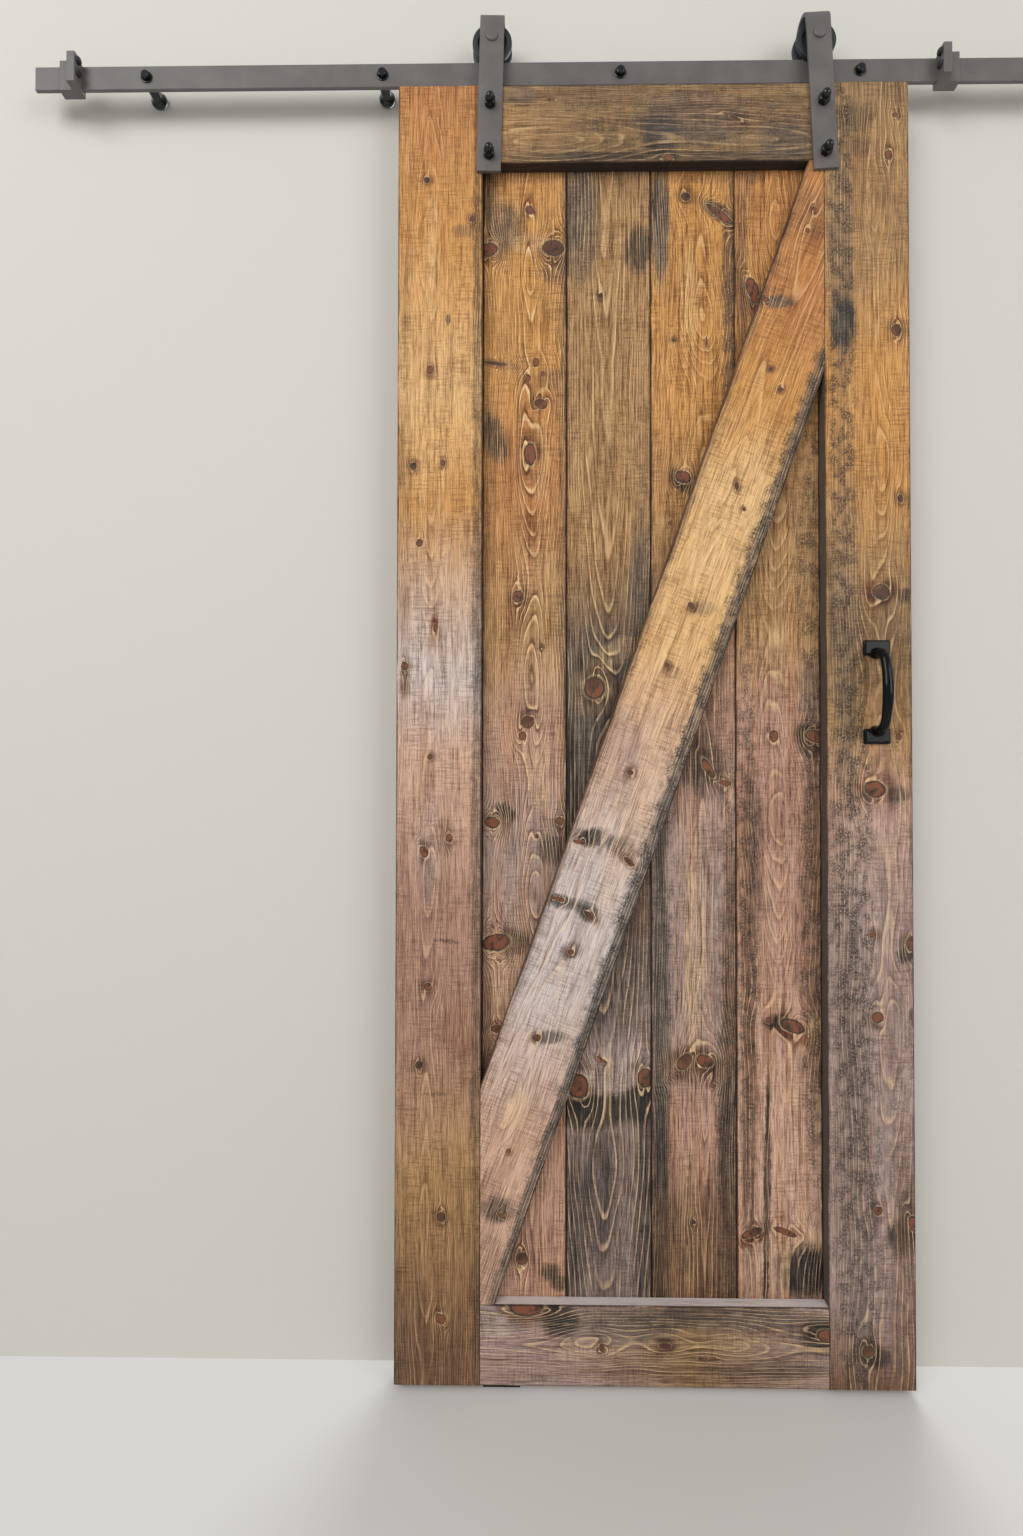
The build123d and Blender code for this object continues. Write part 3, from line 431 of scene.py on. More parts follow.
                   (612, 980, 40, 46, 0, "slate", 0.5), (630, 900, 20, 30, 0, "umber", 0.4)],
        "weather": [(581, 219, 14, 60, 0, 0.5), (645, 560, 10, 140, 0, 0.4), (622, 1068, 34, 30, 0, 0.35),
                    (640, 950, 14, 60, 0, 0.5), (610, 1230, 44, 80, 0, 0.3)],
    },
    "back_plank_4": {
        "seed": 6, "pith": 16, "depth": 40, "wander": 24, "taper": 0.01, "spacing": 0.95, "line": 0.34,
        "blotch": 0.25, "fibre": 1.2, "warm": 0.3,
        "drift": [(0, "honey"), (0.12, "honey"), (0.24, "honey"), (0.36, "tan"), (0.5, "clay"),
                  (0.62, "mauve"), (0.72, "mauve"), (0.82, "clay"), (0.92, "umber"), (1, "umber")],
        "added_swells": [(-380, 70, -22), (-500, 70, 16), (-1680, 100, -20)],
        "knots": [(685.4, 196.7, 4.6, 4.4, 0), (720, 214.5, 17, 3.6, -37), (674, 340, 2.4, 2, 0),
                  (683, 477, 8, 6, -20), (706.5, 342, 1.0, 6, 0), (670.5, 522.7, 2.6, 1.8, 0),
                  (708, 768, 4, 11, 30), (725, 783, 6, 3, -10), (684.4, 1062, 6, 9, -38),
                  (704.8, 1061, 8.5, 6, -22), (713, 1085.6, 3, 2.2, 0), (693, 1222, 3, 2.4, 0)],
        # The second row here, in umber, is a painted shadow under the top rail.
        "stains_and_painted_light": [(660, 222, 7, 46, 0, "slate", 0.7), (700, 176, 44, 5.4, 0, "umber", 0.3),
                   (732, 300, 7, 100, 0, "umber", 0.55), (722, 214, 17, 6, -36, "char", 0.6),
                   (661, 760, 7, 80, 0, "char", 0.6), (661, 1000, 7, 140, 0, "slate", 0.7),
                   (661, 1210, 8, 90, 0, "char", 0.6), (731, 1150, 10, 150, 0, "char", 0.6),
                   (732, 950, 8, 90, 0, "umber", 0.5), (695, 955, 8, 88, 0, "cream", 0.45),
                   (690, 1230, 6, 60, 0, "cream", 0.3), (700, 1245, 34, 48, 0, "umber", 0.45),
                   (698, 760, 20, 30, 30, "char", 0.5), (727, 780, 10, 6, 0, "cream", 0.5),
                   (696, 1066, 28, 14, 0, "umber", 0.5), (686, 482, 13, 8, -25, "char", 0.5),
                   (711, 470, 8, 90, 0, "honey", 0.35), (690, 300, 8, 36, 0, "cream", 0.3),
                   (700, 700, 26, 40, 0, "umber", 0.35), (674, 900, 6, 90, 0, "mauve", 0.4)],
        "weather": [(732, 320, 9, 120, 0, 0.7), (662, 900, 9, 260, 0, 0.6), (730, 1050, 12, 240, 0, 0.7),
                    (700, 720, 36, 60, 0, 0.45)],
    },
    "back_plank_5": {
        "seed": 7, "pith": 0, "depth": 40, "wander": 20, "taper": -0.006, "spacing": 1.0, "line": 0.28,
        "blotch": 0.4, "fibre": 1.15, "warm": 0.4,
        "drift": [(0, "amber"), (0.2, "honey"), (0.32, "tan"), (0.42, "tan"), (0.5, "clay"),
                  (0.64, "clay"), (0.78, "blush"), (0.9, "blush"), (1, "umber")],
        "added_swells": [(-215, 60, -16), (-640, 90, -20), (-905, 90, 14), (-1220, 80, -18), (-1490, 80, 16)],
        "knots": [(752, 288, 6, 11, 20), (754.5, 299, 3.6, 4.6, 0), (773.7, 736, 4.6, 6, 0),
                  (816, 736.5, 11, 6, -10), (768.7, 1020, 3.6, 3.4, 0), (792.5, 1026, 12.5, 6.4, -25),
                  (752, 1233, 11, 4.2, 22), (785, 1232, 12, 3.4, -20)],
        # The first row here, in umber, is a painted shadow under the top rail.
        "stains_and_painted_light": [(750, 176, 14, 5.4, 0, "umber", 0.4), (751, 300, 9, 14, 20, "rust", 0.6),
                   (754, 300, 5, 6, 0, "char", 0.7), (742, 280, 4, 90, 0, "umber", 0.5),
                   (813, 560, 12, 130, 0, "olive", 0.5), (815, 700, 12, 30, 0, "slate", 0.35),
                   (816, 737, 12, 8, -8, "rust", 0.8), (803, 738, 6, 10, 0, "char", 0.6),
                   (815, 752, 11, 5, 0, "char", 0.6), (777, 650, 9, 22, 0, "cream", 0.3),
                   (780, 900, 24, 110, 0, "clay", 0.35), (749, 930, 6, 150, 0, "umber", 0.55),
                   (814, 930, 11, 150, 0, "umber", 0.5), (795, 1032, 17, 9, -25, "rust", 0.5),
                   (778, 1022, 10, 6, 0, "char", 0.55), (815, 1030, 8, 12, 0, "cream", 0.5),
                   (767, 1200, 2.6, 98, -1, "char", 0.85), (751, 1238, 12, 6, 20, "rust", 0.75),
                   (797, 1246, 22, 15, 0, "cream", 0.45), (806, 1272, 20, 20, 20, "char", 0.75),
                   (785, 1180, 26, 60, 0, "clay", 0.3), (749, 1130, 6, 120, 0, "umber", 0.5),
                   (757, 860, 5, 60, 0, "char", 0.3)],
        "weather": [(814, 560, 13, 130, 0, 0.8), (748, 900, 9, 240, 0, 0.8), (815, 920, 13, 240, 0, 0.8),
                    (800, 1275, 26, 24, 0, 0.4)],
    },
    "back_plank_6": {
        "seed": 8, "pith": -14, "depth": 42, "wander": 40, "taper": 0.008, "spacing": 1.0, "line": 0.4,
        "blotch": 0.4,
        "drift": [(0, "olive"), (0.3, "tan"), (0.6, "mauve"), (1, "umber")],
        "added_swells": [(-700, 140, -18), (-1500, 150, -20)],
        "added_knots": [(20, -300, 9, 8, 0), (-34, -1130, 12, 10, 0), (8, -1720, 9, 9, 0)],
    },
    "top_rail": {
        "seed": 9, "pith": 24, "depth": 52, "wander": 26, "taper": 0.02, "spacing": 0.8, "line": 0.22,
        # The side tone here is painted shade on the rail's underside.
        "blotch": 0.6, "warm": 0.12, "side": ("char", 0.8), "length": -562.8, "start": 0.5,
        "half_width": 65.0,
        "drift": [(0, "tan"), (0.25, "olive"), (0.5, "olive"), (0.75, "olive"), (1, "olive")],
        "added_swells": [(-150, 120, -14)],
        "knots": [(668, 158, 5, 3.6, 0), (553, 99.5, 2.4, 1.6, 0), (735, 118, 6, 2, -20)],
        "stains_and_painted_light": [(660, 132, 14, 18, 0, "char", 0.6), (690, 120, 40, 20, 0, "slate", 0.45),
                   (740, 112, 60, 12, 0, "umber", 0.35), (560, 96, 60, 6, 0, "umber", 0.35),
                   (640, 156, 140, 4, 0, "char", 0.45), (560, 130, 50, 12, 0, "tan", 0.35),
                   (785, 140, 24, 16, 0, "slate", 0.4), (520, 95, 14, 8, 0, "slate", 0.4)],
        "weather": [(700, 120, 120, 30, 0, 0.55), (560, 150, 60, 12, 0, 0.35)],
    },
    "bottom_rail": {
        "seed": 10, "pith": -10, "depth": 34, "wander": 34, "taper": 0.0, "spacing": 0.95, "line": 0.42,
        # The side tone here is a painted highlight on the rail's top edge.
        "blotch": 0.55, "warm": 0.12, "side": ("ash", 0.9), "length": -562.8, "start": 0.5,
        "half_width": 65.0,
        "drift": [(0, "mauve"), (0.3, "mauve"), (0.6, "olive"), (1, "mauve")],
        "swells": [(586, 1350, 60, -22), (730, 1343, 60, -18)],
        "added_swells": [(20, 60, -18)],
        "knots": [(526, 1306.5, 17, 9.5, 0), (601.7, 1348, 2.4, 4.4, 0), (665, 1346, 6, 3, 0),
                  (826, 1336, 9, 6.5, -10), (703, 1359, 5, 2, 0)],
        "stains_and_painted_light": [(526, 1308, 20, 10, 0, "rust", 0.6), (560, 1320, 14, 14, 0, "char", 0.7),
                   (495, 1320, 16, 12, 0, "ash", 0.45), (586, 1350, 26, 12, 0, "cream", 0.25),
                   (700, 1318, 100, 8, 0, "slate", 0.5), (820, 1337, 14, 12, 0, "char", 0.65),
                   (667, 1347, 16, 8, 0, "cream", 0.3), (730, 1343, 22, 7, 0, "cream", 0.3),
                   (700, 1372, 110, 6, 0, "umber", 0.35), (620, 1330, 40, 9, 0, "slate", 0.4),
                   (770, 1370, 40, 8, 0, "char", 0.3)],
        "weather": [(650, 1318, 170, 12, 0, 0.45), (800, 1350, 30, 30, 0, 0.4)],
    },
    "brace": {
        "seed": 11, "pith": -16, "depth": 46, "wander": 24, "taper": 0.004, "spacing": 1.0, "line": 0.3,
        "blotch": 0.12, "fibre": 0.8, "warm": 0.12, "side": ("umber", 0.9), "length": -2000.0,
        "start": 0.5,
        "drift": [(0, "blush"), (0.15, "blush"), (0.27, "ash"), (0.36, "ash"), (0.48, "blush"),
                  (0.57, "straw"), (0.7, "straw"), (0.78, "honey"), (0.88, "amber"), (1, "amber")],
        "swells": [(737, 486, 90, -16), (516, 1108, 80, -18)],
        "added_swells": [(840, 110, -16)],
        "knots": [(814, 209, 2.6, 2.6, 0), (808, 230.5, 2.4, 2.4, 0), (766, 299.5, 3.2, 3, 0),
                  (771, 369, 2.2, 2.2, 0), (781, 389.5, 3, 2.4, 0), (737, 486, 2.2, 3.8, 10),
                  (744, 509, 1.8, 2.2, 0), (691.5, 606, 3.6, 3.4, 0), (667, 665.5, 2.8, 2.8, 0),
                  (630, 772.5, 3.4, 2.8, 0), (579, 842, 6, 2.2, -10), (629, 861.5, 6.6, 2.6, -40),
                  (558, 899, 7, 2.2, -12), (588.5, 915, 6, 2.6, -45), (571, 952, 3.2, 2.6, 0),
                  (536.5, 1037.5, 3.8, 3.4, 0), (508.7, 1151, 2.4, 2.4, 0), (501.8, 1216, 4, 2.6, -20)],
        "stains_and_painted_light": [(618, 738, 14, 22, 0, "mauve", 0.6), (778, 301, 12, 5, 0, "slate", 0.6),
                   (703, 608, 10.4, 5.5, 0, "slate", 0.3), (672, 672, 6.7, 5.5, 0, "umber", 0.3),
                   (592, 837, 14, 7, 0, "char", 0.65), (622, 848, 12, 8, -30, "char", 0.6),
                   (561, 902, 14, 5, -10, "char", 0.65), (588, 912, 11, 7, -30, "char", 0.6),
                   (548, 1037, 14, 5, 0, "slate", 0.6), (572, 950, 9, 6, 0, "umber", 0.5),
                   (497, 1210, 12, 10, 0, "char", 0.5), (516, 1108, 7, 14, -19.5, "cream", 0.5),
                   (735, 520, 26, 60, -19.5, "cream", 0.45), (640, 800, 20, 70, -19.5, "ash", 0.35),
                   (560, 960, 26, 60, -19.5, "ash", 0.35), (812, 215, 14, 20, 0, "umber", 0.3),
                   (490, 1270, 12, 30, 0, "umber", 0.3)],
        "added_stains_and_painted_light": [(26, -80, 22, 160, 0, "straw", 0.4), (64, 100, 10, 760, 0, "slate", 0.6),
                         (66, -640, 9, 330, 0, "slate", 0.5), (-66, 250, 4, 700, 0, "umber", 0.4)],
        "added_weather": [(60, 120, 14, 800, 0, 0.9), (62, -620, 12, 330, 0, 0.7),
                          (-62, 0, 8, 900, 0, 0.3)],
    },
}


# Boards: each has its own log, knots and stain. Places are millimetres across and along the board,
# upright ones from the door's top edge, the others from their middle.

STAIN_STRENGTH, SWELL_STRENGTH, LINE_STRENGTH, GROOVE_STRENGTH = 1.35, 0.65, 1.6, 2.1
KNOT_SCALE, FLOW_WIDTH, FLOW_LENGTH, FLOW_REACH = 0.94, 1.4, 2.9, 1.05
FAR_RIM = 9.0
RING_BUNCH = 9.0
ANY_DEPTH = 1e5
BROAD_SHADE = (0.62, 0.52, 0.44)
GROOVE_SHADE = (0.42, 0.33, 0.27)
PORE_SHADE = (0.30, 0.22, 0.17)
SAW_SHADE = (0.42, 0.32, 0.26)
HALO_SHADE = (0.30, 0.21, 0.16)
ARRIS_SHADE = (0.12, 0.09, 0.07)
DARK_STAINS_AND_SHADE = ("char", "umber", "slate", "rust")


def camera_turn():
    """The camera's axes as columns: right, up and back."""
    yaw, pitch, roll = CAMERA_TURNS
    ahead = Vector((sin(yaw) * cos(pitch), cos(yaw) * cos(pitch), sin(pitch)))
    right = Vector((cos(yaw), -sin(yaw), 0.0))
    up = right.cross(ahead)
    across = right * cos(roll) + up * sin(roll)
    above = up * cos(roll) - right * sin(roll)
    return Matrix((across, above, -ahead)).transposed()


def on_board(reading, origin, turn):
    """A row read in the photograph, in millimetres across and along the board's front face."""
    column, row, half_width, half_height, lean, *look = reading
    focal = FOCAL_LENGTH / SENSOR_SIZE * PHOTO_HEIGHT
    ray = camera_turn() @ Vector((column - PHOTO_WIDTH / 2, PHOTO_HEIGHT / 2 - row, -focal))
    depth = origin.y - CAMERA_PLACE.y
    offset = (CAMERA_PLACE + ray * (depth / ray.y) - origin) / MM
    across = offset.x * cos(turn) - offset.z * sin(turn)
    along = offset.x * sin(turn) + offset.z * cos(turn)
    pixel = depth / focal / MM
    if turn == RAIL_TURN:
        return (across, along, half_height * pixel, half_width * pixel, lean, *look)
    return (across, along, half_width * pixel, half_height * pixel, lean + degrees(turn), *look)


def board_frames():
    """Where each board's pattern starts, and how it is turned about y."""
    frames = {}
    for name in BOARDS:
        low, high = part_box(name)
        middle = (low + high) / 2
        if name == "brace":
            frames[name] = (Vector((middle.x, low.y, middle.z)), BRACE_TURN)
        elif name in ("top_rail", "bottom_rail"):
            frames[name] = (Vector((DOOR_MIDDLE, low.y, middle.z)), RAIL_TURN)
        else:
            frames[name] = (Vector((middle.x, low.y, DOOR_TOP)), 0.0)
    return frames


def patch(board, row):
    """A soft-edged oval patch: 1 inside, 0 outside. It may be long and narrow."""
    across, along, half_width, half_length, turn = row[:5]
    seen = board.local((across, 0, along), -radians(turn), (half_width, ANY_DEPTH, half_length))
    return seen.vector("DOT_PRODUCT", seen, output="Value").step(3.0, 0.45)


def chain_of_knots(board, point, knots):
    """One knot group after another: how far they push the grain aside, and the nearest rim."""
    push, rim = 0.0, FAR_RIM
    for across, along, half_width, half_height, lean in knots:
        knot = board.tree.nodes.new("ShaderNodeGroup")
        knot.node_tree = knot_group()
        size = (half_width * KNOT_SCALE, ANY_DEPTH, half_height * KNOT_SCALE)
        flow = (half_width * FLOW_WIDTH, ANY_DEPTH, half_height * FLOW_LENGTH)
        given = {"Board": point, "Place": (across, 0, along), "Turn": (0, -radians(lean), 0), "Size": size,
                 "Flow Size": flow, "Reach": half_width * FLOW_REACH, "Push In": push, "Rim In": rim}
        for label, value in given.items():
            if isinstance(value, Field):
                board.tree.links.new(value.socket, knot.inputs[label])
            else:
                knot.inputs[label].default_value = value
        push, rim = (Field(board.tree, knot.outputs[label]) for label in ("Push", "Rim"))
    return push, rim


def growth_rings(point, plan, spacing, push, waves):
    """Rings round a pith that wanders below the board's face: each rises from 0 to 1."""
    slow, streak, crumb = waves
    along = point.axis(2)
    deep = slow.axis(1) * plan["wander"] + plan["depth"] + point.axis(1) + along * plan["taper"]
    for middle, half, rise in plan["swells"]:
        hump = (along - middle) / half
        deep = deep + rise * SWELL_STRENGTH / (hump * hump + 1)
    across = point.axis(0) - push + slow.axis(0) * 20 + crumb.axis(0) * 0.35 - plan["pith"]
    squares = across * across + deep * deep
    radius = squares.math("SQRT", squares)
    phase = radius / RING_BUNCH + plan["seed"]
    uneven = phase.math("SINE", phase) * 0.4
    rings = radius / spacing + uneven + streak.axis(0) * 0.14 + slow.axis(2) * 1.2
    return rings.math("FRACT", rings)


def worn_flecks(lost):
    """Crumbs and short ticks of dark stain, in clusters."""
    cluster = lost.noise((15, 15, 24), 2).step(0.60, 0.42)
    ticks = lost.noise((9, 9, 3.4), 2, 0.7).step(0.48, 0.38)
    crumbs = lost.noise((3.0, 3.0, 3.6), 3, 0.75).step(0.56, 0.48)
    return crumbs.math("MAXIMUM", crumbs, ticks * 0.6) * cluster


def knot_heart(rim, kind, crumb, tones):
    """Red-brown rings inside a knot, blackened unevenly."""
    phase = rim * 14 + crumb.axis(2) * 4
    heart = (rim + phase.math("SINE", phase) * 0.06).ramp([
        (0.0, tones.bark), (0.16, tones.umber), (0.34, tones.rust), (0.5, tones.umber),
        (0.66, tones.rust), (0.84, tones.umber), (0.94, tones.bark), (1.0, tones.char)])
    heart = heart.blend(tones.umber, kind.step(0.40, 0.56) * 0.45)
    heart = heart.blend(tones.bark, kind.step(0.48, 0.66) * 0.6)
    return heart.blend(tones.char, crumb.axis(1).step(-0.02, 0.18) * 0.75)


def pine(name, plan, tones, grain, origin, turn):
    """One board: rings of its own log, knots that push them aside, stain and painted light, flecks and saw
    marks.
    """
    board = Finish(f"pine_{name}")
    point = board.node("ShaderNodeTexCoord", output="Object").local(origin, turn, (MM, MM, MM))
    seed = (plan["seed"] * 731.0, 0.0, plan["seed"] * 377.0)
    lost = point.vector("ADD", seed)
    slow = lost.noise((75, 75, 380), 2, output="Color").vector("SUBTRACT", (0.5, 0.5, 0.5))
    streak = lost.noise((9, 9, 95), 2, output="Color").vector("SUBTRACT", (0.5, 0.5, 0.5))
    crumb = lost.noise((8, 8, 11), 3, 0.6, output="Color").vector("SUBTRACT", (0.5, 0.5, 0.5))
    feathered = point.vector("ADD", streak.vector("MULTIPLY", (7, 0, 8)))
    feathered = feathered.vector("ADD", crumb.vector("MULTIPLY", (9, 0, 13)))
    knotted = point.vector("ADD", crumb.vector("MULTIPLY", (5, 0, 6)))
    push, rim = chain_of_knots(board, knotted, plan["knots"])
    tooth = growth_rings(point, plan, grain.ring_spacing / MM * plan["spacing"], push, (slow, streak, crumb))
    line = tooth.step(plan["line_from"], 0.88) * tooth.step(1.0, 0.93)
    groove = tooth.step(0.34, 0.02)
    presence = lost.noise((26, 26, 230), 2).step(0.34, 0.6)
    presence = presence * 0.7 + rim.step(6.0, 1.6) * 0.45
    # Fibre, pores, saw marks and broad stain
    fibre = lost.noise((2.0, 2.0, 38), 3, 0.75)
    strand = lost.noise((5.5, 5.5, 170), 3, 0.7)
    speck = lost.noise((2.4, 2.4, 3.4), 2, 0.7)
    broken = strand.step(0.34, 0.56) * 0.35 + 0.65
    line = line * (presence * 0.72 + 0.28) * broken
    side = point.axis(1).step(0.9, 2.2)
    pores = fibre.step(0.53, 0.40) * 0.8 + strand.step(0.5, 0.38) * 0.65 + speck.step(0.5, 0.36) * 0.3
    pale = strand.step(0.42, 0.66) * fibre.step(0.46, 0.6)
    marks = lost.noise((44, 44, 3.2), 3, 0.8).step(0.48, 0.6)
    marks = marks * lost.noise((34, 34, 80), 2).step(0.36, 0.6)
    broad = lost.noise((30, 30, 230), 3, 0.6)
    # The drift ramp is the board's tone together with painted light: warmer near the top of the door, a cool
    # painted sheen lower down.
    height = point.axis(2) / -plan["length"] + plan["start"] + slow.axis(0) * 0.05 + streak.axis(1) * 0.03
    stops = [(place, getattr(tones, shade)) for place, shade in plan["drift"]]
    colour = height.ramp(stops)
    warm = lost.noise((9, 9, 300), 3, 0.6).step(0.50, 0.62)
    colour = colour.blend(tones.amber, warm * plan["warm"])
    colour = colour.blend(tones.umber, broad.step(0.48, 0.72) * plan["blotch"])
    colour = colour.blend(BROAD_SHADE, broad.step(0.5, 0.3) * 0.6, "MULTIPLY")
    take = 1 - line * 0.75
    dark_take = take * (pores * 0.3 + 0.95)
    pale_take = pale * 0.6 + 0.4
    # Most rows are stain, but some paint light instead: shadows under the top rail, shade in a plank's corner
    # and a sheen patch on the third plank.
    for row in plan["stains_and_painted_light"]:
        soaks = dark_take if row[5] in DARK_STAINS_AND_SHADE else pale_take
        mask = patch(feathered, row) * soaks * row[6] * STAIN_STRENGTH
        colour = colour.blend(getattr(tones, row[5]), mask)
    colour = colour.blend(tones.cream, pale * 0.14 + line * plan["line"] * LINE_STRENGTH)
    shadow = groove * presence * take * plan["line"] * GROOVE_STRENGTH
    colour = colour.blend(GROOVE_SHADE, shadow, "MULTIPLY")
    worn = 0.0
    for row in plan["weather"]:
        mask = patch(feathered, row) * row[5]
        worn = mask.math("MAXIMUM", worn, mask)
    dark = pores * take * grain.fibre * plan["fibre"] * (1 - worn * 0.6)
    colour = colour.blend(PORE_SHADE, dark, "MULTIPLY")
    colour = colour.blend(tones.char, worn_flecks(lost) * worn * 0.9)
    colour = colour.blend(SAW_SHADE, marks * grain.saw_marks * plan["saw"], "MULTIPLY")
    # Knots: a shadow above and below, a pale swirl and fringe, and a black broken rim round the heart
    kind = lost.noise((34, ANY_DEPTH, 34), 0)
    halo = rim.step(3.3, 0.9) * kind.step(0.32, 0.56)
    colour = colour.blend(HALO_SHADE, halo * take * 0.9, "MULTIPLY")
    swirl = rim.step(2.1, 1.3) * rim.step(1.05, 1.3) * line
    colour = colour.blend(tones.cream, swirl * 0.35 * plan["collar"])
    fringe = rim.step(1.42, 1.2) * (fibre.step(0.4, 0.56) * 0.6 + 0.4)
    colour = colour.blend(tones.cream, fringe * 0.22 * plan["collar"])
    colour = colour.blend(tones.char, rim.step(1.15, 1.03) * (broad.step(0.36, 0.56) * 0.5 + 0.35))
    colour = colour.blend(knot_heart(rim, kind, crumb, tones), rim.step(1.07, 0.95))
    # Dark arrises: stain that gathers at the edges, and painted shade in the joints between boards
    edge = point.axis(0).math("ABSOLUTE", point.axis(0)) + streak.axis(0) * 6 + crumb.axis(1) * 3
    arris = edge.step(plan["half_width"] - plan["arris"], plan["half_width"] - 0.5)
    colour = colour.blend(ARRIS_SHADE, arris * 0.9, "MULTIPLY")
    # The side tone paints shade on a board's side faces, such as the top rail's underside and the edges of
    # the brace and stiles, and a pale painted highlight on the bottom rail's top edge.
    shade, amount = plan["side"]
    if amount:
        colour = colour.blend(getattr(tones, shade), side * amount * (1 - pale * 0.5))
    # The relief leaves the knots out: a Bump node works its whole height field out three times
    board.bump(1 - pores * 0.5 - marks * 0.5, grain.relief, 0.9)
    rough = 0.62 - pale * 0.08 + pores * 0.12
    return board.set(base_color=colour, roughness=rough, specular_ior_level=0.4)


class PLANK_OT_boards(bpy.types.Operator):
    """Gives each board of the door its own stained pine"""
    bl_idname = "plank.boards"
    bl_label = "Boards"

    def execute(self, context):
        scene = context.scene
        frames = board_frames()
        for name, plan in BOARDS.items():
            plan = {**COMMON, **plan}
            for kind in ("knots", "stains_and_painted_light", "weather"):
                read = [on_board(reading, *frames[name]) for reading in plan[kind]]
                plan[kind] = read + plan[f"added_{kind}"]
            read = [(on_board((column, row, 0, 0, 0), *frames[name])[1], half, rise)
                    for column, row, half, rise in plan["swells"]]
            plan["swells"] = read + plan["added_swells"]
            made = pine(name, plan, scene.plank_tones, scene.plank_grain, *frames[name])
            paint(frame["nodes"][name], made)
        return {"FINISHED"}


def paint(piece, material):
    """Puts one material in every slot of a piece."""
    if not piece.material_slots:
        piece.data.materials.append(material)
    for slot in piece.material_slots:
        slot.material = material
    return piece


# Hardware finishes

def powder_coat(tones):
    """Satin grey powder coat with a fine orange-peel skin."""
    coat = Finish("grey_powder_coat")
    point = coat.point()
    peel = point.noise((0.55, 0.55, 0.55), 2)
    cloud = point.noise((40, 40, 40), 3)
    colour = coat.varied(cloud.step(0.3, 0.7), tones.powder, 0.88, 1.1)
    coat.bump(peel, 0.00006, 0.6)
    return coat.set(base_color=colour, roughness=cloud * 0.12 + 0.42, specular_ior_level=0.5)


def black_steel(tones):
    """Black coated steel, a little rubbed where hands and tools have been."""
    coat = Finish("black_coated_steel")
    point = coat.point()
    cloud = point.noise((6, 6, 6), 3, 0.6)
    colour = coat.varied(cloud.step(0.55, 0.8), tones.oxide, 1.0, 1.8)
    coat.bump(point.noise((0.6, 0.6, 0.6), 2), 0.00002, 0.4)
    return coat.set(base_color=colour, roughness=cloud * 0.12 + 0.1, specular_ior_level=0.42)


def enamel(tones):
    """Gloss black enamel over cast iron, whose skin waves slightly."""
    coat = Finish("gloss_black_iron")
    point = coat.point()
    wave = point.noise((7, 7, 7), 2)
    grit = point.noise((0.8, 0.8, 0.8), 2)
    coat.bump(wave * 0.8 + grit * 0.2, 0.00025, 0.5)
    shade = coat.varied(wave, tones.enamel, 1.0, 1.5)
    return coat.set(base_color=shade, roughness=grit * 0.05 + 0.1, specular_ior_level=0.18)


def plain_polymer(name, tone_value, grain, roughness, depth):
    """Moulded nylon or rubber with a fine sparked skin."""
    skin = Finish(name)
    point = skin.point()
    fine = point.noise((grain, grain, grain), 2)
    cloud = point.noise((9, 9, 9), 2)
    colour = skin.varied(cloud, tone_value, 0.85, 1.25)
    skin.bump(fine, depth, 0.6)
    return skin.set(base_color=colour, roughness=fine * 0.15 + roughness)


def bare_metal(name, tone_value, scratch, roughness):
    """Ground or plated steel with fine turning marks."""
    metal = Finish(name)
    point = metal.point()
    lines = point.noise(scratch, 3, 0.6)
    cloud = point.noise((5, 5, 5), 2)
    colour = metal.varied(cloud, tone_value, 0.8, 1.0)
    metal.bump(lines, 0.00002, 0.5)
    return metal.set(base_color=colour, metallic=1.0, roughness=lines * 0.15 + roughness)


FINISHES = {}


def finish_of(slot):
    """The material of a record slot, made once."""
    if slot in FINISHES:
        return FINISHES[slot]
    tones = bpy.context.scene.plank_hardware
    makers = {
        "grey_powder_coat": lambda: powder_coat(tones),
        "black_coated_steel": lambda: black_steel(tones),
        "gloss_black_iron": lambda: enamel(tones),
        "wheel_nylon": lambda: plain_polymer("wheel_nylon", tones.nylon, 0.5, 0.38, 0.00004),
        "disc_nylon": lambda: plain_polymer("disc_nylon", tones.nylon, 0.6, 0.42, 0.00004),
        "button_rubber": lambda: plain_polymer("button_rubber", tones.rubber, 0.4, 0.6, 0.00005),
        "bright_steel": lambda: bare_metal("bright_steel", tones.steel, (0.3, 3.0, 0.3), 0.22),
        "zinc_steel": lambda: bare_metal("zinc_steel", tones.zinc, (0.8, 0.8, 0.8), 0.34),
    }
    FINISHES[slot] = makers[slot]()
    return FINISHES[slot]


def dress(*nodes):
    """Gives CAD nodes the finish of the slot that the record names for them."""
    for name in nodes:
        paint(frame["nodes"][name], finish_of(SLOTS[name]))


# Pull

def pull_sections(shape):
    """Ellipses along the grip, from the upper foot to the lower: height, way along, lean and halves."""
    bend, bow = shape.bend_radius, shape.bow_radius
    root = shape.root_pitch / 2
    centre = bow - shape.bow_height
    turn_z = root - bend
    turn_h = sqrt((bow - bend) ** 2 - turn_z ** 2) - centre
    join_z = turn_z * bow / (bow - bend)
    last = acos(join_z / bow)
    rows = []
    for i in range(7):
        share_up = i / 6
        rows.append((turn_h * share_up, root, 0.0, share_up * 0.25))
    for i in range(1, 15):
        lean = last * i / 14
        rows.append((turn_h + bend * sin(lean), turn_z + bend * cos(lean), lean, 0.25 + 0.25 * i / 14))
    for i in range(1, 19):
        z = join_z * (1 - i / 18)
        rows.append((sqrt(bow ** 2 - z ** 2) - centre, z, acos(z / bow), 0.5 + 0.5 * i / 18))
    return rows + [(h, -z, pi - lean, t) for h, z, lean, t in reversed(rows[:-1])]


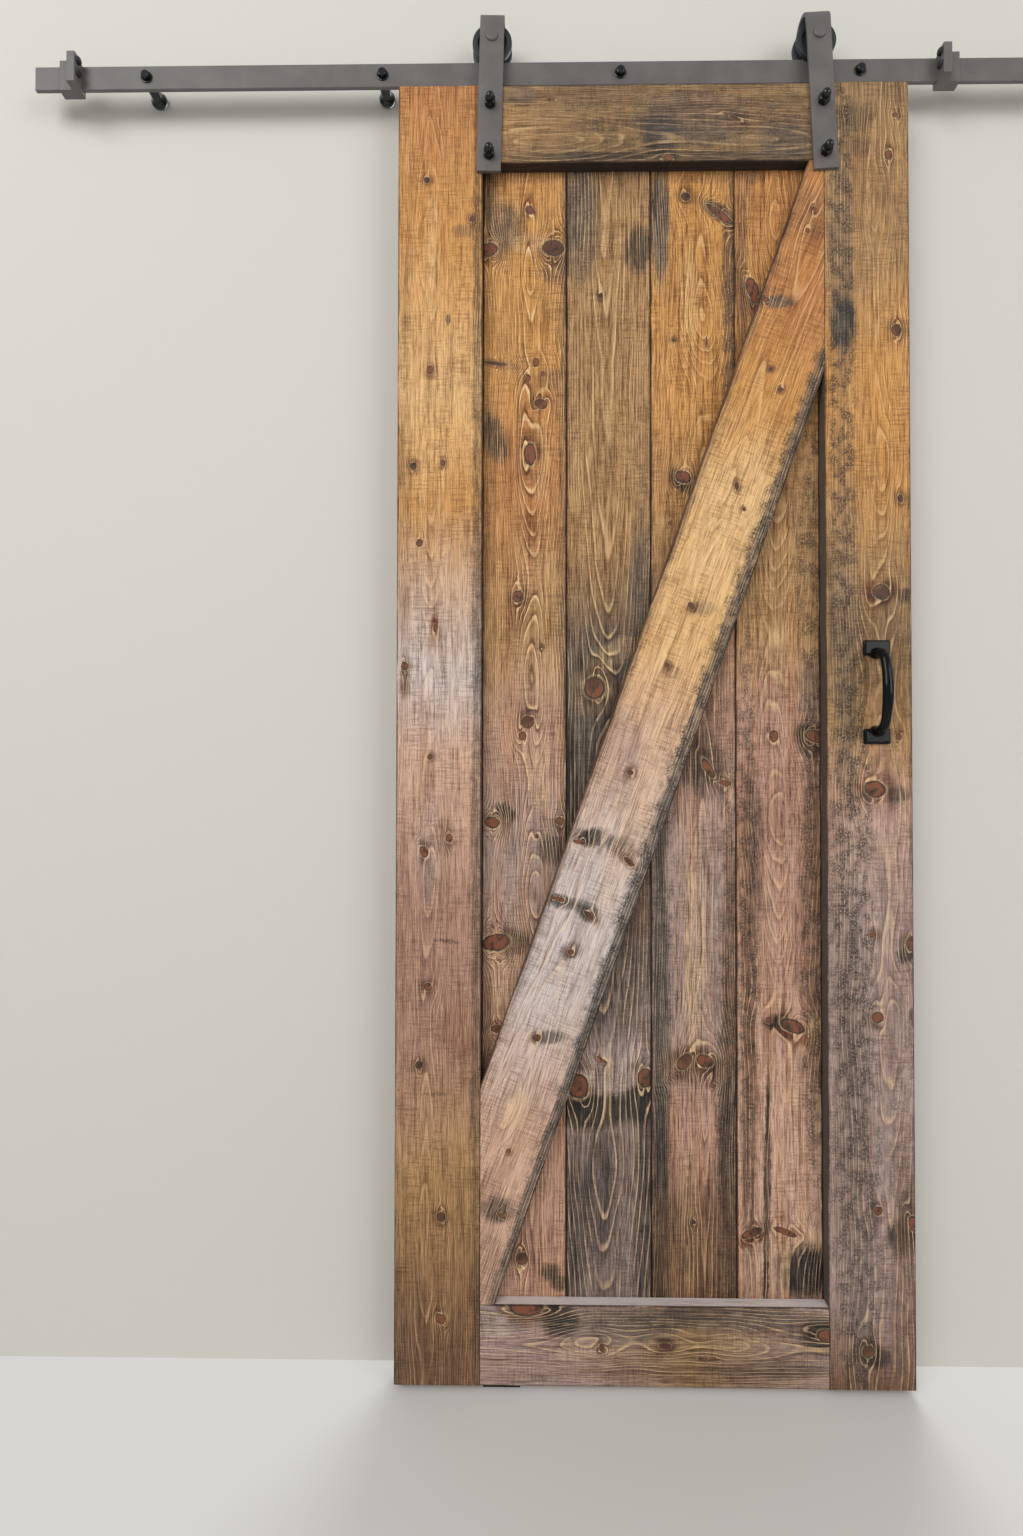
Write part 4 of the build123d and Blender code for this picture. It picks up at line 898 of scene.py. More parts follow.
def pull_half_size(shape, t):
    """Half width and half depth of the grip: thick at the root, slim at the neck, fuller in the grip."""
    neck = 0.5
    if t < neck:
        s = t / neck
        s = s * s * (3 - 2 * s)
        pair = [(shape.root_width, shape.neck_width), (shape.root_depth, shape.neck_depth)]
    else:
        s = (t - neck) / (1 - neck)
        s = s * s * (3 - 2 * s)
        pair = [(shape.neck_width, shape.grip_width), (shape.neck_depth, shape.grip_depth)]
    return [(a + (b - a) * s) / 2 for a, b in pair]


def ring_of(mesh, centre, side, out, half_side, half_out, count=40):
    return [mesh.verts.new(centre + side * (half_side * cos(a)) + out * (half_out * sin(a)))
            for a in (2 * pi * i / count for i in range(count))]


def bridge(mesh, rings):
    for low, high in zip(rings, rings[1:]):
        for i in range(len(low)):
            j = (i + 1) % len(low)
            mesh.faces.new((low[i], low[j], high[j], high[i]))


def pull_foot(mesh, shape, centre_z, face_y, x):
    """One foot: a low plate with rounded corners and a wide bevel."""
    half_x, half_z = shape.foot_width / 2, shape.foot_height / 2
    levels = [(0.0, 0.0), (shape.foot_thickness - shape.foot_bevel, 0.0),
              (shape.foot_thickness - shape.foot_bevel * 0.55, shape.foot_bevel * 0.12),
              (shape.foot_thickness - shape.foot_bevel * 0.12, shape.foot_bevel * 0.75),
              (shape.foot_thickness, shape.foot_bevel * 1.15)]
    rings = []
    for height, inset in levels:
        ring = []
        corner = shape.foot_corner
        for cx, cz, start in ((1, 1, 0), (-1, 1, 90), (-1, -1, 180), (1, -1, 270)):
            for k in range(9):
                a = radians(start + 90 * k / 8)
                r = max(corner - inset * 0.4, corner * 0.4)
                ring.append(mesh.verts.new((x + cx * (half_x - inset - r) + r * cos(a),
                                            face_y - height,
                                            centre_z + cz * (half_z - inset - r) + r * sin(a))))
        rings.append(ring)
    bridge(mesh, rings)
    mesh.faces.new(rings[0])
    mesh.faces.new(rings[-1])


class PullShape(bpy.types.PropertyGroup):
    """The cast pull: two feet and a bowed grip."""
    foot_width: length("Foot width", 0.043, "Width of a foot across the stile")
    foot_height: length("Foot height", 0.025, "Height of a foot along the stile")
    foot_thickness: length("Foot thickness", 0.005, "How far a foot stands off the stile")
    foot_bevel: length("Foot bevel", 0.0026, "Width of the bevel round a foot")
    foot_corner: length("Foot corner", 0.003, "Radius of a foot's corners")
    foot_pitch: length("Foot pitch", 0.1445, "Distance between the middles of the feet")
    root_pitch: length("Root pitch", 0.126, "Distance between the grip's roots")
    bow_height: length("Bow height", 0.035, "How far the grip's centre line stands off the stile")
    bow_radius: length("Bow radius", 0.158, "Radius of the bow")
    bend_radius: length("Bend radius", 0.020, "Radius of the bend above a foot")
    root_width: length("Root width", 0.024, "Width of the grip at a foot")
    root_depth: length("Root depth", 0.018, "Depth of the grip at a foot")
    neck_width: length("Neck width", 0.0148, "Width of the grip at its slimmest")
    neck_depth: length("Neck depth", 0.012, "Depth of the grip at its slimmest")
    grip_width: length("Grip width", 0.0172, "Width of the grip at its middle")
    grip_depth: length("Grip depth", 0.014, "Depth of the grip at its middle")
    voxel: length("Casting detail", 0.0006, "Voxel size with which feet and grip are fused")


SETTINGS["plank_pull"] = PullShape


class PLANK_OT_pull(bpy.types.Operator):
    """Casts the pull's feet and grip as one smooth piece"""
    bl_idname = "plank.pull"
    bl_label = "Pull"

    def execute(self, context):
        shape = context.scene.plank_pull
        low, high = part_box("pull_handle")
        x, face_y, middle_z = (low.x + high.x) / 2, high.y, (low.z + high.z) / 2
        mesh = bmesh.new()
        rings = []
        for h, z, lean, t in pull_sections(shape):
            half_w, half_d = pull_half_size(shape, t)
            out = Vector((0, -sin(lean), cos(lean)))
            rings.append(ring_of(mesh, Vector((x, face_y - 0.0005 - h, middle_z + z)),
                                 Vector((1, 0, 0)), out, half_w, half_d))
        bridge(mesh, rings)
        mesh.faces.new(rings[0])
        mesh.faces.new(rings[-1])
        for side in (-1, 1):
            pull_foot(mesh, shape, middle_z + side * shape.foot_pitch / 2, face_y, x)
        bmesh.ops.recalc_face_normals(mesh, faces=mesh.faces)
        piece = new_piece("pull", mesh, "door", "gloss_black_iron")
        remesh = piece.modifiers.new("Fuse", "REMESH")
        remesh.mode, remesh.voxel_size, remesh.use_smooth_shade = "VOXEL", shape.voxel, True
        smooth = piece.modifiers.new("Soften", "SMOOTH")
        smooth.factor, smooth.iterations = 0.5, 6
        settle(piece)
        for vertex in piece.data.vertices:
            vertex.co.y = min(vertex.co.y, face_y)
        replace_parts(piece, "pull_handle")
        dress("handle_bolts")
        return {"FINISHED"}


class PLANK_OT_hardware(bpy.types.Operator):
    """Finishes the rail, the stops, the hangers, the wheels and the floor guide"""
    bl_idname = "plank.hardware"
    bl_label = "Rail and hangers"

    def execute(self, context):
        dress(*[n for n in SLOTS if not SLOTS[n].startswith("pine_") and n != "pull_handle"])
        return {"FINISHED"}


# Turned and bent pieces. Profiles are millimetres: radius and way along y from the rail's middle.

def eased(points, radius=0.5, steps=3, closed=False):
    """A profile with its corners rounded."""
    rounded = []
    count = len(points)
    for i, corner in enumerate(points):
        here = Vector(corner)
        if not closed and i in (0, count - 1):
            rounded.append(corner)
            continue
        before, after = (Vector(points[(i + k) % count]) - here for k in (-1, 1))
        reach = min(radius, before.length * 0.45, after.length * 0.45)
        start, end = here + before.normalized() * reach, here + after.normalized() * reach
        for k in range(steps + 1):
            t = k / steps
            rounded.append(tuple(start * (1 - t) ** 2 + here * (2 * t * (1 - t)) + end * t ** 2))
    return rounded


def turned(mesh, section, middle, sides=72, across=None, closed=False):
    """Adds a solid of revolution about y. With across it is a hexagon as wide as that, where the
    profile is wider. Sizes are millimetres, middle is metres."""
    rings = []
    for radius, y in section:
        height = middle[1] + y * MM
        if radius < 1e-6:
            rings.append([mesh.verts.new((middle[0], height, middle[2]))])
            continue
        ring = []
        for i in range(sides):
            a = 2 * pi * i / sides
            here = radius
            if across:
                here = min(radius, across / 2 / cos((a + pi / 6) % (pi / 3) - pi / 6))
            ring.append(mesh.verts.new((middle[0] + here * MM * cos(a), height,
                                        middle[2] + here * MM * sin(a))))
        rings.append(ring)
    pairs = [*zip(rings, rings[1:])]
    if closed:
        pairs.append((rings[-1], rings[0]))
    for low, high in pairs:
        for i in range(sides):
            j = (i + 1) % sides
            corners = [low[i % len(low)], low[j % len(low)], high[j % len(high)], high[i % len(high)]]
            corners = list(dict.fromkeys(corners))
            if len(corners) > 2:
                mesh.faces.new(corners)
    return mesh


def closed_up(mesh):
    """Merges doubles and turns the faces outwards."""
    bmesh.ops.remove_doubles(mesh, verts=mesh.verts, dist=1e-6)
    bmesh.ops.recalc_face_normals(mesh, faces=mesh.faces)
    return mesh


def repeat_tree():
    """Geometry Nodes: the given piece in columns and rows, as one mesh in one finish."""
    tree = bpy.data.node_groups.get("Rows of pieces")
    if tree:
        return tree
    tree = bpy.data.node_groups.new("Rows of pieces", "GeometryNodeTree")
    face = tree.interface
    for label, kind in (("Geometry", "Geometry"), ("Start", "Vector"), ("Columns", "Int"),
                        ("Column Step", "Vector"), ("Rows", "Int"), ("Row Step", "Vector"),
                        ("Finish", "Material")):
        face.new_socket(label, in_out="INPUT", socket_type=f"NodeSocket{kind}")
    face.new_socket("Geometry", in_out="OUTPUT", socket_type="NodeSocketGeometry")
    given = {s.name: Field(tree, s) for s in tree.nodes.new("NodeGroupInput").outputs if s.name}
    line = {"mode": "OFFSET"}
    columns = add_node(tree, "GeometryNodeMeshLine", line, {
        "Count": given["Columns"], "Start Location": given["Start"], "Offset": given["Column Step"]})
    rows = add_node(tree, "GeometryNodeMeshLine", line, {
        "Count": given["Rows"], "Offset": given["Row Step"]})
    one_row = add_node(tree, "GeometryNodeInstanceOnPoints", None,
                       {"Points": columns, "Instance": given["Geometry"]})
    block = add_node(tree, "GeometryNodeInstanceOnPoints", None, {"Points": rows, "Instance": one_row})
    whole = add_node(tree, "GeometryNodeRealizeInstances", None, {0: block})
    done = add_node(tree, "GeometryNodeSetMaterial", None, {"Geometry": whole, "Material": given["Finish"]})
    tree.links.new(done.socket, tree.nodes.new("NodeGroupOutput").inputs[0])
    return tree


def in_rows(name, mesh, body, slot, start, columns, column_step, rows=1, row_step=(0, 0, 0)):
    """Repeats a piece with the node tree, then keeps the result as a plain mesh."""
    piece = plain_piece(name, mesh, slot)
    repeat = piece.modifiers.new("Rows", "NODES")
    repeat.node_group = repeat_tree()
    sockets = {s.name: s.identifier for s in repeat.node_group.interface.items_tree if s.in_out == "INPUT"}
    values = {"Start": start, "Columns": columns, "Column Step": column_step, "Rows": rows,
              "Row Step": row_step, "Finish": finish_of(slot)}
    for label, value in values.items():
        repeat[sockets[label]] = [float(v) for v in value] if isinstance(value, tuple) else value
    settle(piece)
    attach(piece, body)
    return piece


def plain_piece(name, mesh, slot):
    """A finished mesh as an object, with creases where its faces meet sharply."""
    data = bpy.data.meshes.new(name)
    mesh.to_mesh(data)
    mesh.free()
    piece = bpy.data.objects.new(name, data)
    bpy.context.scene.collection.objects.link(piece)
    soften(data)
    paint(piece, finish_of(slot))
    return piece


def soften(data):
    data.shade_smooth()
    data.set_sharp_from_angle(angle=radians(32))


def settle(piece):
    """Turns a piece's modifiers into its plain mesh."""
    graph = bpy.context.evaluated_depsgraph_get()
    done = bpy.data.meshes.new_from_object(piece.evaluated_get(graph), depsgraph=graph)
    piece.modifiers.clear()
    piece.data = done
    soften(done)


def new_piece(name, mesh, body, slot):
    """A mesh as a finished piece that rides on its body."""
    piece = plain_piece(name, mesh, slot)
    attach(piece, body)
    return piece


class FastenerShape(bpy.types.PropertyGroup):
    """Bolts, washers, spacers and screws."""
    bolt_pitch: length("Bolt pitch", 0.4, "Distance between two of the rail's bolts")
    bolt_count: bpy.props.IntProperty(name="Bolts", description="How many bolts hold the rail",
                                      default=5, min=2)
    head_across: length("Bolt head", 0.013, "Width of a lag bolt's head across its flats")
    head_height: length("Bolt head height", 0.0055, "Height of a lag bolt's head")
    thread: length("Thread", 0.008, "Diameter of a lag bolt's thread")
    thread_pitch: length("Thread pitch", 0.0026, "Distance between two turns of the thread")
    nut_across: length("Dome nut", 0.017, "Width of a dome nut across its flats")
    nut_height: length("Dome nut height", 0.008, "Height of a dome nut's hexagon")
    dome: length("Dome", 0.015, "Diameter of a dome nut's dome")
    screw_head: length("Screw head", 0.008, "Diameter of a board screw's head")


class HangerShape(bpy.types.PropertyGroup):
    """The bent straps and the grooved wheels."""
    strap_width: length("Strap width", 0.04, "Width of a strap")
    strap_thickness: length("Strap thickness", 0.005, "Thickness of a strap")
    strap_gap: length("Strap gap", 0.033, "Inner distance between a strap's two legs")
    crown_lift: length("Crown lift", 0.026, "Height above the axle at which the bend starts")
    front_length: length("Front leg", 0.227, "Length of a strap's front leg below the axle")
    rear_length: length("Rear leg", 0.025, "Length of a strap's rear leg below the axle")
    edge_ease: length("Edge ease", 0.0009, "Radius of a strap's edges")
    flange_radius: length("Flange radius", 0.033, "Radius of a wheel's flanges")
    roll_radius: length("Rolling radius", 0.025, "Radius of the groove's floor, which rolls on the rail")


SETTINGS["plank_fasteners"] = FastenerShape
SETTINGS["plank_hangers"] = HangerShape


def hexagon_head(across, front, back, ease):
    """Profile of a chamfered hexagon's envelope, from its front to its back."""
    corner = across / 2 / cos(pi / 6)
    flat = across / 2
    drop = (corner - flat) * 0.6
    return [(0, front), (flat - 0.6, front), (flat, front + ease)] + [
        (flat + (corner - flat) * t, front + ease + drop * t * t) for t in (0.25, 0.5, 0.75, 1.0)] + [
        (corner, back)]


class PLANK_OT_fasteners(bpy.types.Operator):
    """Makes the rail's bolts, washers and spacers, and the screws behind the boards"""
    bl_idname = "plank.fasteners"
    bl_label = "Bolts and screws"

    def execute(self, context):
        shape = context.scene.plank_fasteners
        low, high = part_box("lag_bolts")
        front, tip = low.y / MM, high.y / MM
        pitch = (shape.bolt_pitch, 0, 0)
        start = (-shape.bolt_pitch * (shape.bolt_count - 1) / 2, 0, 0)
        head_back = front + shape.head_height / MM
        rows = (start, shape.bolt_count, pitch)
        slot = SLOTS["lag_bolts"]
        # Lag bolts: a hexagon head, a plain shank and a thread that runs out in a point
        across, thread = shape.head_across / MM, shape.thread / MM / 2
        mesh = bmesh.new()
        turned(mesh, hexagon_head(across, front, head_back, 0.5) + [(0, head_back)], (0, 0, 0),
               across=across)
        turned(mesh, [(0, head_back - 0.5), (thread * 0.9, head_back - 0.5)]
               + self.thread_profile(thread, 0.0, tip, shape.thread_pitch / MM), (0, 0, 0), 32)
        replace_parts(in_rows("lag_bolt_row", closed_up(mesh), "track", slot, *rows),
                    "lag_bolts")
        # Washers with a slight crown
        ring_low, ring_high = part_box("rail_washers")
        outer, bore = (ring_high.z - ring_low.z) / 2 / MM, thread + 0.4
        face, back = ring_low.y / MM, ring_high.y / MM
        section = eased([(bore, back), (bore, face + 0.1), (outer - 1.2, face), (outer, face + 0.5),
                         (outer, back)], 0.3, 2, True)
        mesh = turned(bmesh.new(), section, (0, 0, 0), 48, closed=True)
        slot = SLOTS["rail_washers"]
        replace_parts(in_rows("washer_row", closed_up(mesh), "track", slot, *rows),
                    "rail_washers")
        # Spacers: a neck that swells to a rounded foot
        spacer_low, spacer_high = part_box("rail_spacers")
        foot, neck_end = (spacer_high.z - spacer_low.z) / 2 / MM, spacer_low.y / MM
        neck = foot - 5
        section = [(bore, -0.01), (bore, neck_end), (neck, neck_end), (neck, -13), (foot - 3.4, -9.2),
                   (foot - 0.5, -7), (foot, -4.5), (foot - 0.6, -2), (foot - 2, -0.01)]
        section = eased(section, 1.2, 4, True)
        mesh = turned(bmesh.new(), section, (0, 0, 0), 56, closed=True)
        slot = SLOTS["rail_spacers"]
        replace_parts(in_rows("spacer_row", closed_up(mesh), "track", slot, *rows),
                    "rail_spacers")
        self.board_screws(shape)
        return {"FINISHED"}

    @staticmethod
    def thread_profile(radius, start, tip, pitch):
        """Ridges that taper to a point over the last stretch."""
        taper = 9.0
        profile, y = [(radius * 0.9, start)], start
        while y < tip - pitch:
            size = min(1.0, (tip - y) / taper)
            profile += [(radius * 0.74 * size, y + pitch * 0.25), (radius * 0.74 * size, y + pitch * 0.6),
                        (radius * size, y + pitch * 0.85), (radius * size, y + pitch)]
            y += pitch
        return profile + [(0, tip)]

    @staticmethod
    def board_screws(shape):
        """Flat heads with a cross recess, sunk in the planks' backs, in rows and along the brace."""
        low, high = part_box("board_screws")
        radius = shape.screw_head / MM / 2
        mesh = bmesh.new()
        face = high.y / MM
        rim = [mesh.verts.new((radius * MM * cos(a), high.y, radius * MM * sin(a)))
               for a in (2 * pi * i / 32 for i in range(32))]
        arm, waist = radius * 0.62 * MM, radius * 0.14 * MM
        cross = [(arm, waist), (waist, waist), (waist, arm), (-waist, arm), (-waist, waist),
                 (-arm, waist), (-arm, -waist), (-waist, -waist), (-waist, -arm), (waist, -arm),
                 (waist, -waist), (arm, -waist)]
        mouth = [mesh.verts.new((x, high.y, z)) for x, z in cross]
        floor = [mesh.verts.new((x * 0.8, high.y - 0.0016, z * 0.8)) for x, z in cross]
        edges = [mesh.edges.new((loop[i], loop[(i + 1) % len(loop)])) for loop in (rim, mouth)
                 for i in range(len(loop))]
        bmesh.ops.triangle_fill(mesh, use_beauty=True, edges=edges)
        for i in range(len(cross)):
            j = (i + 1) % len(cross)
            mesh.faces.new((mouth[i], mouth[j], floor[j], floor[i]))
        mesh.faces.new(floor)
        length_mm = (high.y - low.y) / MM
        turned(mesh, [(radius, face), (radius, face - 0.2), (2.0, face - 2.4), (2.0, face - length_mm + 4),
                      (0, face - length_mm)], (0, 0, 0), 32)
        closed_up(mesh)
        for kind, (start, columns, column_step, rows, row_step) in screw_spots().items():
            piece = in_rows(f"board_screws_{kind}", mesh.copy(), "door", SLOTS["board_screws"], start,
                            columns, column_step, rows, row_step)
            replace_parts(piece, "board_screws")
        mesh.free()


def screw_spots():
    """Rows of board screws: behind the two rails, behind the stiles and along the brace."""
    left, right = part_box("back_plank_1"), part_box("back_plank_6")
    top, foot = left[1].z, left[0].z
    first = (left[0].x + left[1].x) / 2
    last = (right[0].x + right[1].x) / 2
    pitch = (last - first) / 5
    rail_drop = top - (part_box("board_screws")[1].z - 0.004)
    third = (top - foot) / 3
    half = (foot + top) / 2
    lean = pitch / 2 / tan(BRACE_TURN)
    return {
        "rails": ((first, 0, top - rail_drop), 6, (pitch, 0, 0), 2,
                  (0, 0, -(top - foot) + 2 * rail_drop)),
        "stiles": ((first, 0, top - third), 2, (last - first, 0, 0), 2, (0, 0, -third)),
        "brace": ((first + pitch, 0, half - 3 * lean), 4, (pitch, 0, 2 * lean), 1, (0, 0, 0)),
    }


class PLANK_OT_hangers(bpy.types.Operator):
    """Makes each hanger's bent strap, wheel, axle bolt, dome nuts and rear bolt heads"""
    bl_idname = "plank.hangers"
    bl_label = "Hangers"

    def execute(self, context):
        hanger, fastener = context.scene.plank_hangers, context.scene.plank_fasteners
        for side in ("left", "right"):
            wheel_low, wheel_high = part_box(f"{side}_wheel")
            axle = (wheel_low + wheel_high) / 2
            lean = self.lean_of(side, axle)
            self.strap(side, hanger, axle, lean)
            self.wheel(side, hanger, axle)
            self.axle_head(side, axle)
            self.nuts(side, fastener, axle, lean)
        return {"FINISHED"}

    @staticmethod
    def lean_of(side, axle):
        """How far the strap leans, from where its nuts are."""
        low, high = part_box(f"{side}_dome_nuts")
        middle = (low + high) / 2
        return atan2(middle.x - axle.x, axle.z - middle.z)

    @staticmethod
    def strap(side, hanger, axle, lean):
        """A flat bar bent over the wheel."""
        inner, thick = hanger.strap_gap / 2, hanger.strap_thickness
        middle = inner + thick / 2
        crown = hanger.crown_lift
        path = [(-middle, -hanger.front_length, 1.0)]
        path += [(-middle, z, 1.0) for z in (-0.15, -0.075, 0.0, crown)]
        steps = 40
        path += [(-middle * cos(pi * i / steps), crown + middle * sin(pi * i / steps), 1.0)
                 for i in range(1, steps)]
        path.append((middle, crown, 1.0))
        half = hanger.strap_width / 2
        corner = 0.008
        start = -hanger.rear_length + corner
        path.append((middle, start, 1.0))
        for i in range(1, 9):
            t = radians(90 * i / 8)
            path.append((middle, start - corner * sin(t), (half - corner + corner * cos(t)) / half))
        ease = hanger.edge_ease
        mesh = bmesh.new()
        rings = []
        for k, (y, z, width) in enumerate(path):
            before, after = path[max(k - 1, 0)], path[min(k + 1, len(path) - 1)]
            along = Vector((0, after[0] - before[0], after[1] - before[1])).normalized()
            out = Vector((0, -along.z, along.y))
            ring = []
            for sx, so, start_turn in ((1, 1, 0), (-1, 1, 90), (-1, -1, 180), (1, -1, 270)):
                for turn in (0, 30, 60, 90):
                    a = radians(start_turn + turn)
                    x = sx * (half * width - ease) + ease * cos(a)
                    o = so * (thick / 2 - ease) + ease * sin(a)
                    ring.append(Vector((x, y, z)) + out * o)
            rings.append(ring)
        lean_turn = Matrix.Rotation(-lean, 3, "Y")
        made = [[mesh.verts.new(Vector((axle.x, axle.y, axle.z)) + lean_turn @ v) for v in ring]
                for ring in rings]
        bridge(mesh, made)
        mesh.faces.new(made[0])
        mesh.faces.new(made[-1])
        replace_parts(new_piece(f"{side}_strap", closed_up(mesh), "door",
                              SLOTS[f"{side}_hanger_strap"]), f"{side}_hanger_strap")

    @staticmethod
    def wheel(side, hanger, axle):
        """A moulded wheel: two flanges with a groove between them, a dished face and a bearing seat."""
        low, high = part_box(f"{side}_wheel")
        edge = (high.y - low.y) / 2 / MM
        rim, roll = hanger.flange_radius / MM, hanger.roll_radius / MM
        seat, dish, ring, floor = 15.02, 24.0, 4.5, edge - 3
        section = [(seat, -floor), (dish - 1, -floor), (dish, -edge), (rim - 0.2, -edge),
                   (rim, -edge + 1.5), (rim, -5), (roll, -3.8), (roll, 3.8), (rim, 5),
                   (rim, edge - 1.5), (rim - 0.2, edge), (dish, edge), (dish - 1, floor),
                   (seat - 2, floor), (seat - 2, ring), (seat, ring)]
        mesh = turned(bmesh.new(), eased(section, 0.7, 3, True), axle, 96, closed=True)
        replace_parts(new_piece(f"{side}_grooved_wheel", closed_up(mesh), f"{side}_wheel",
                              SLOTS[f"{side}_wheel"]), f"{side}_wheel")

    @staticmethod
    def axle_head(side, axle):
        """A low round head with a soft edge, and the plain shank behind it."""
        low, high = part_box(f"{side}_axle_bolt")
        front, end = (low.y - axle.y) / MM, (high.y - axle.y) / MM
        section = [(0, front), (6.4, front), (8.2, front + 0.35), (9.5, front + 1.2), (10, front + 2.2),
                   (10, front + 3.5), (4.95, front + 3.5), (4.95, end - 1), (3.95, end), (0, end)]
        mesh = turned(bmesh.new(), eased(section, 0.5), axle, 64)
        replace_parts(new_piece(f"{side}_axle", closed_up(mesh), "door", SLOTS[f"{side}_axle_bolt"]),
                    f"{side}_axle_bolt")
        low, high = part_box(f"{side}_axle_nut")
        front, back = (low.y - axle.y) / MM, (high.y - axle.y) / MM
        middle, half = (front + back) / 2, (back - front) / 2
        corner = 8.5 / cos(pi / 6)
        rise = [(8.5 + (corner - 8.5) * t, 0.4 + 0.9 * t * t) for t in (0, 0.5, 1)]
        section = ([(5.0, middle - half), (7.9, middle - half)] + [(r, middle - half + d) for r, d in rise]
                   + [(r, middle + half - d) for r, d in reversed(rise)]
                   + [(7.9, middle + half), (5.6, middle + half), (5.0, middle + half - 0.6)])
        mesh = turned(bmesh.new(), section, axle, 72, across=17.0, closed=True)
        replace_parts(new_piece(f"{side}_lock_nut", closed_up(mesh), "door", SLOTS[f"{side}_axle_nut"]),
                    f"{side}_axle_nut")

    @staticmethod
    def nuts(side, fastener, axle, lean):
        """Dome nuts in front and round bolt heads behind."""
        low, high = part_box(f"{side}_dome_nuts")
        across = fastener.nut_across / MM
        dome = fastener.dome / MM / 2
        back = (high.y - axle.y) / MM
        base = back - fastener.nut_height / MM
        tip = (low.y - axle.y) / MM
        head_end = (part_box(f"{side}_hanger_bolts")[1].y - axle.y) / MM
        head_start = head_end - 5.0
        nuts, bolts = bmesh.new(), bmesh.new()
        corner = across / 2 / cos(pi / 6)
        rise = [(across / 2 + (corner - across / 2) * t, 1.3 * t * t) for t in (0.0, 0.4, 0.75, 1.0)]
        collar = base - (base - tip - dome)
        arc = [(dome * sin(radians(a)), collar - (collar - tip) * cos(radians(a)))
               for a in range(0, 91, 9)]
        cap = arc + [(dome, base - 0.4), (dome + 0.5, base)]
        for drop in (115.0, 200.0):
            spot = axle + Vector((sin(lean), 0, -cos(lean))) * drop * MM
            turned(nuts, cap + [(r, base + d) for r, d in rise] + [(corner, back - 1.0), (across / 2, back),
                   (4.0, back)], spot, 72, across=across)
            head = [(11.0 * cos(radians(a)), head_start + 5.0 * sin(radians(a))) for a in range(0, 91, 9)]
            head[-1] = (0, head_end)
            turned(bolts, [(0, head_start), (11.0, head_start)] + head[1:], spot, 56)
            turned(bolts, [(0, head_start + 0.2), (4.95, head_start + 0.2), (4.95, base + 1), (0, base + 1)],
                   spot, 32)
        for label, mesh, node in (("domes", nuts, "dome_nuts"), ("round_bolts", bolts, "hanger_bolts")):
            piece = new_piece(f"{side}_{label}", closed_up(mesh), "door", SLOTS[f"{side}_{node}"])
            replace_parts(piece, f"{side}_{node}")


# Studio

def stage_finish(name, colour, roughness):
    surface = Finish(name)
    return surface.set(base_color=colour, roughness=roughness, specular_ior_level=0.2)


def plane(name, corners):
    mesh = bpy.data.meshes.new(name)
    mesh.from_pydata(corners, [], [(0, 1, 2, 3)])
    piece = bpy.data.objects.new(name, mesh)
    bpy.context.scene.collection.objects.link(piece)
    return piece


def lamp(name, place, aim, size, power, colour=(1, 1, 1)):
    light = bpy.data.lights.new(name, "AREA")
    light.shape, light.size, light.size_y = "RECTANGLE", size[0], size[1]
    light.energy, light.color = power, colour
    made = bpy.data.objects.new(name, light)
    made.location = place
    made.rotation_euler = (Vector(aim) - Vector(place)).to_track_quat("-Z", "Y").to_euler()
    bpy.context.scene.collection.objects.link(made)


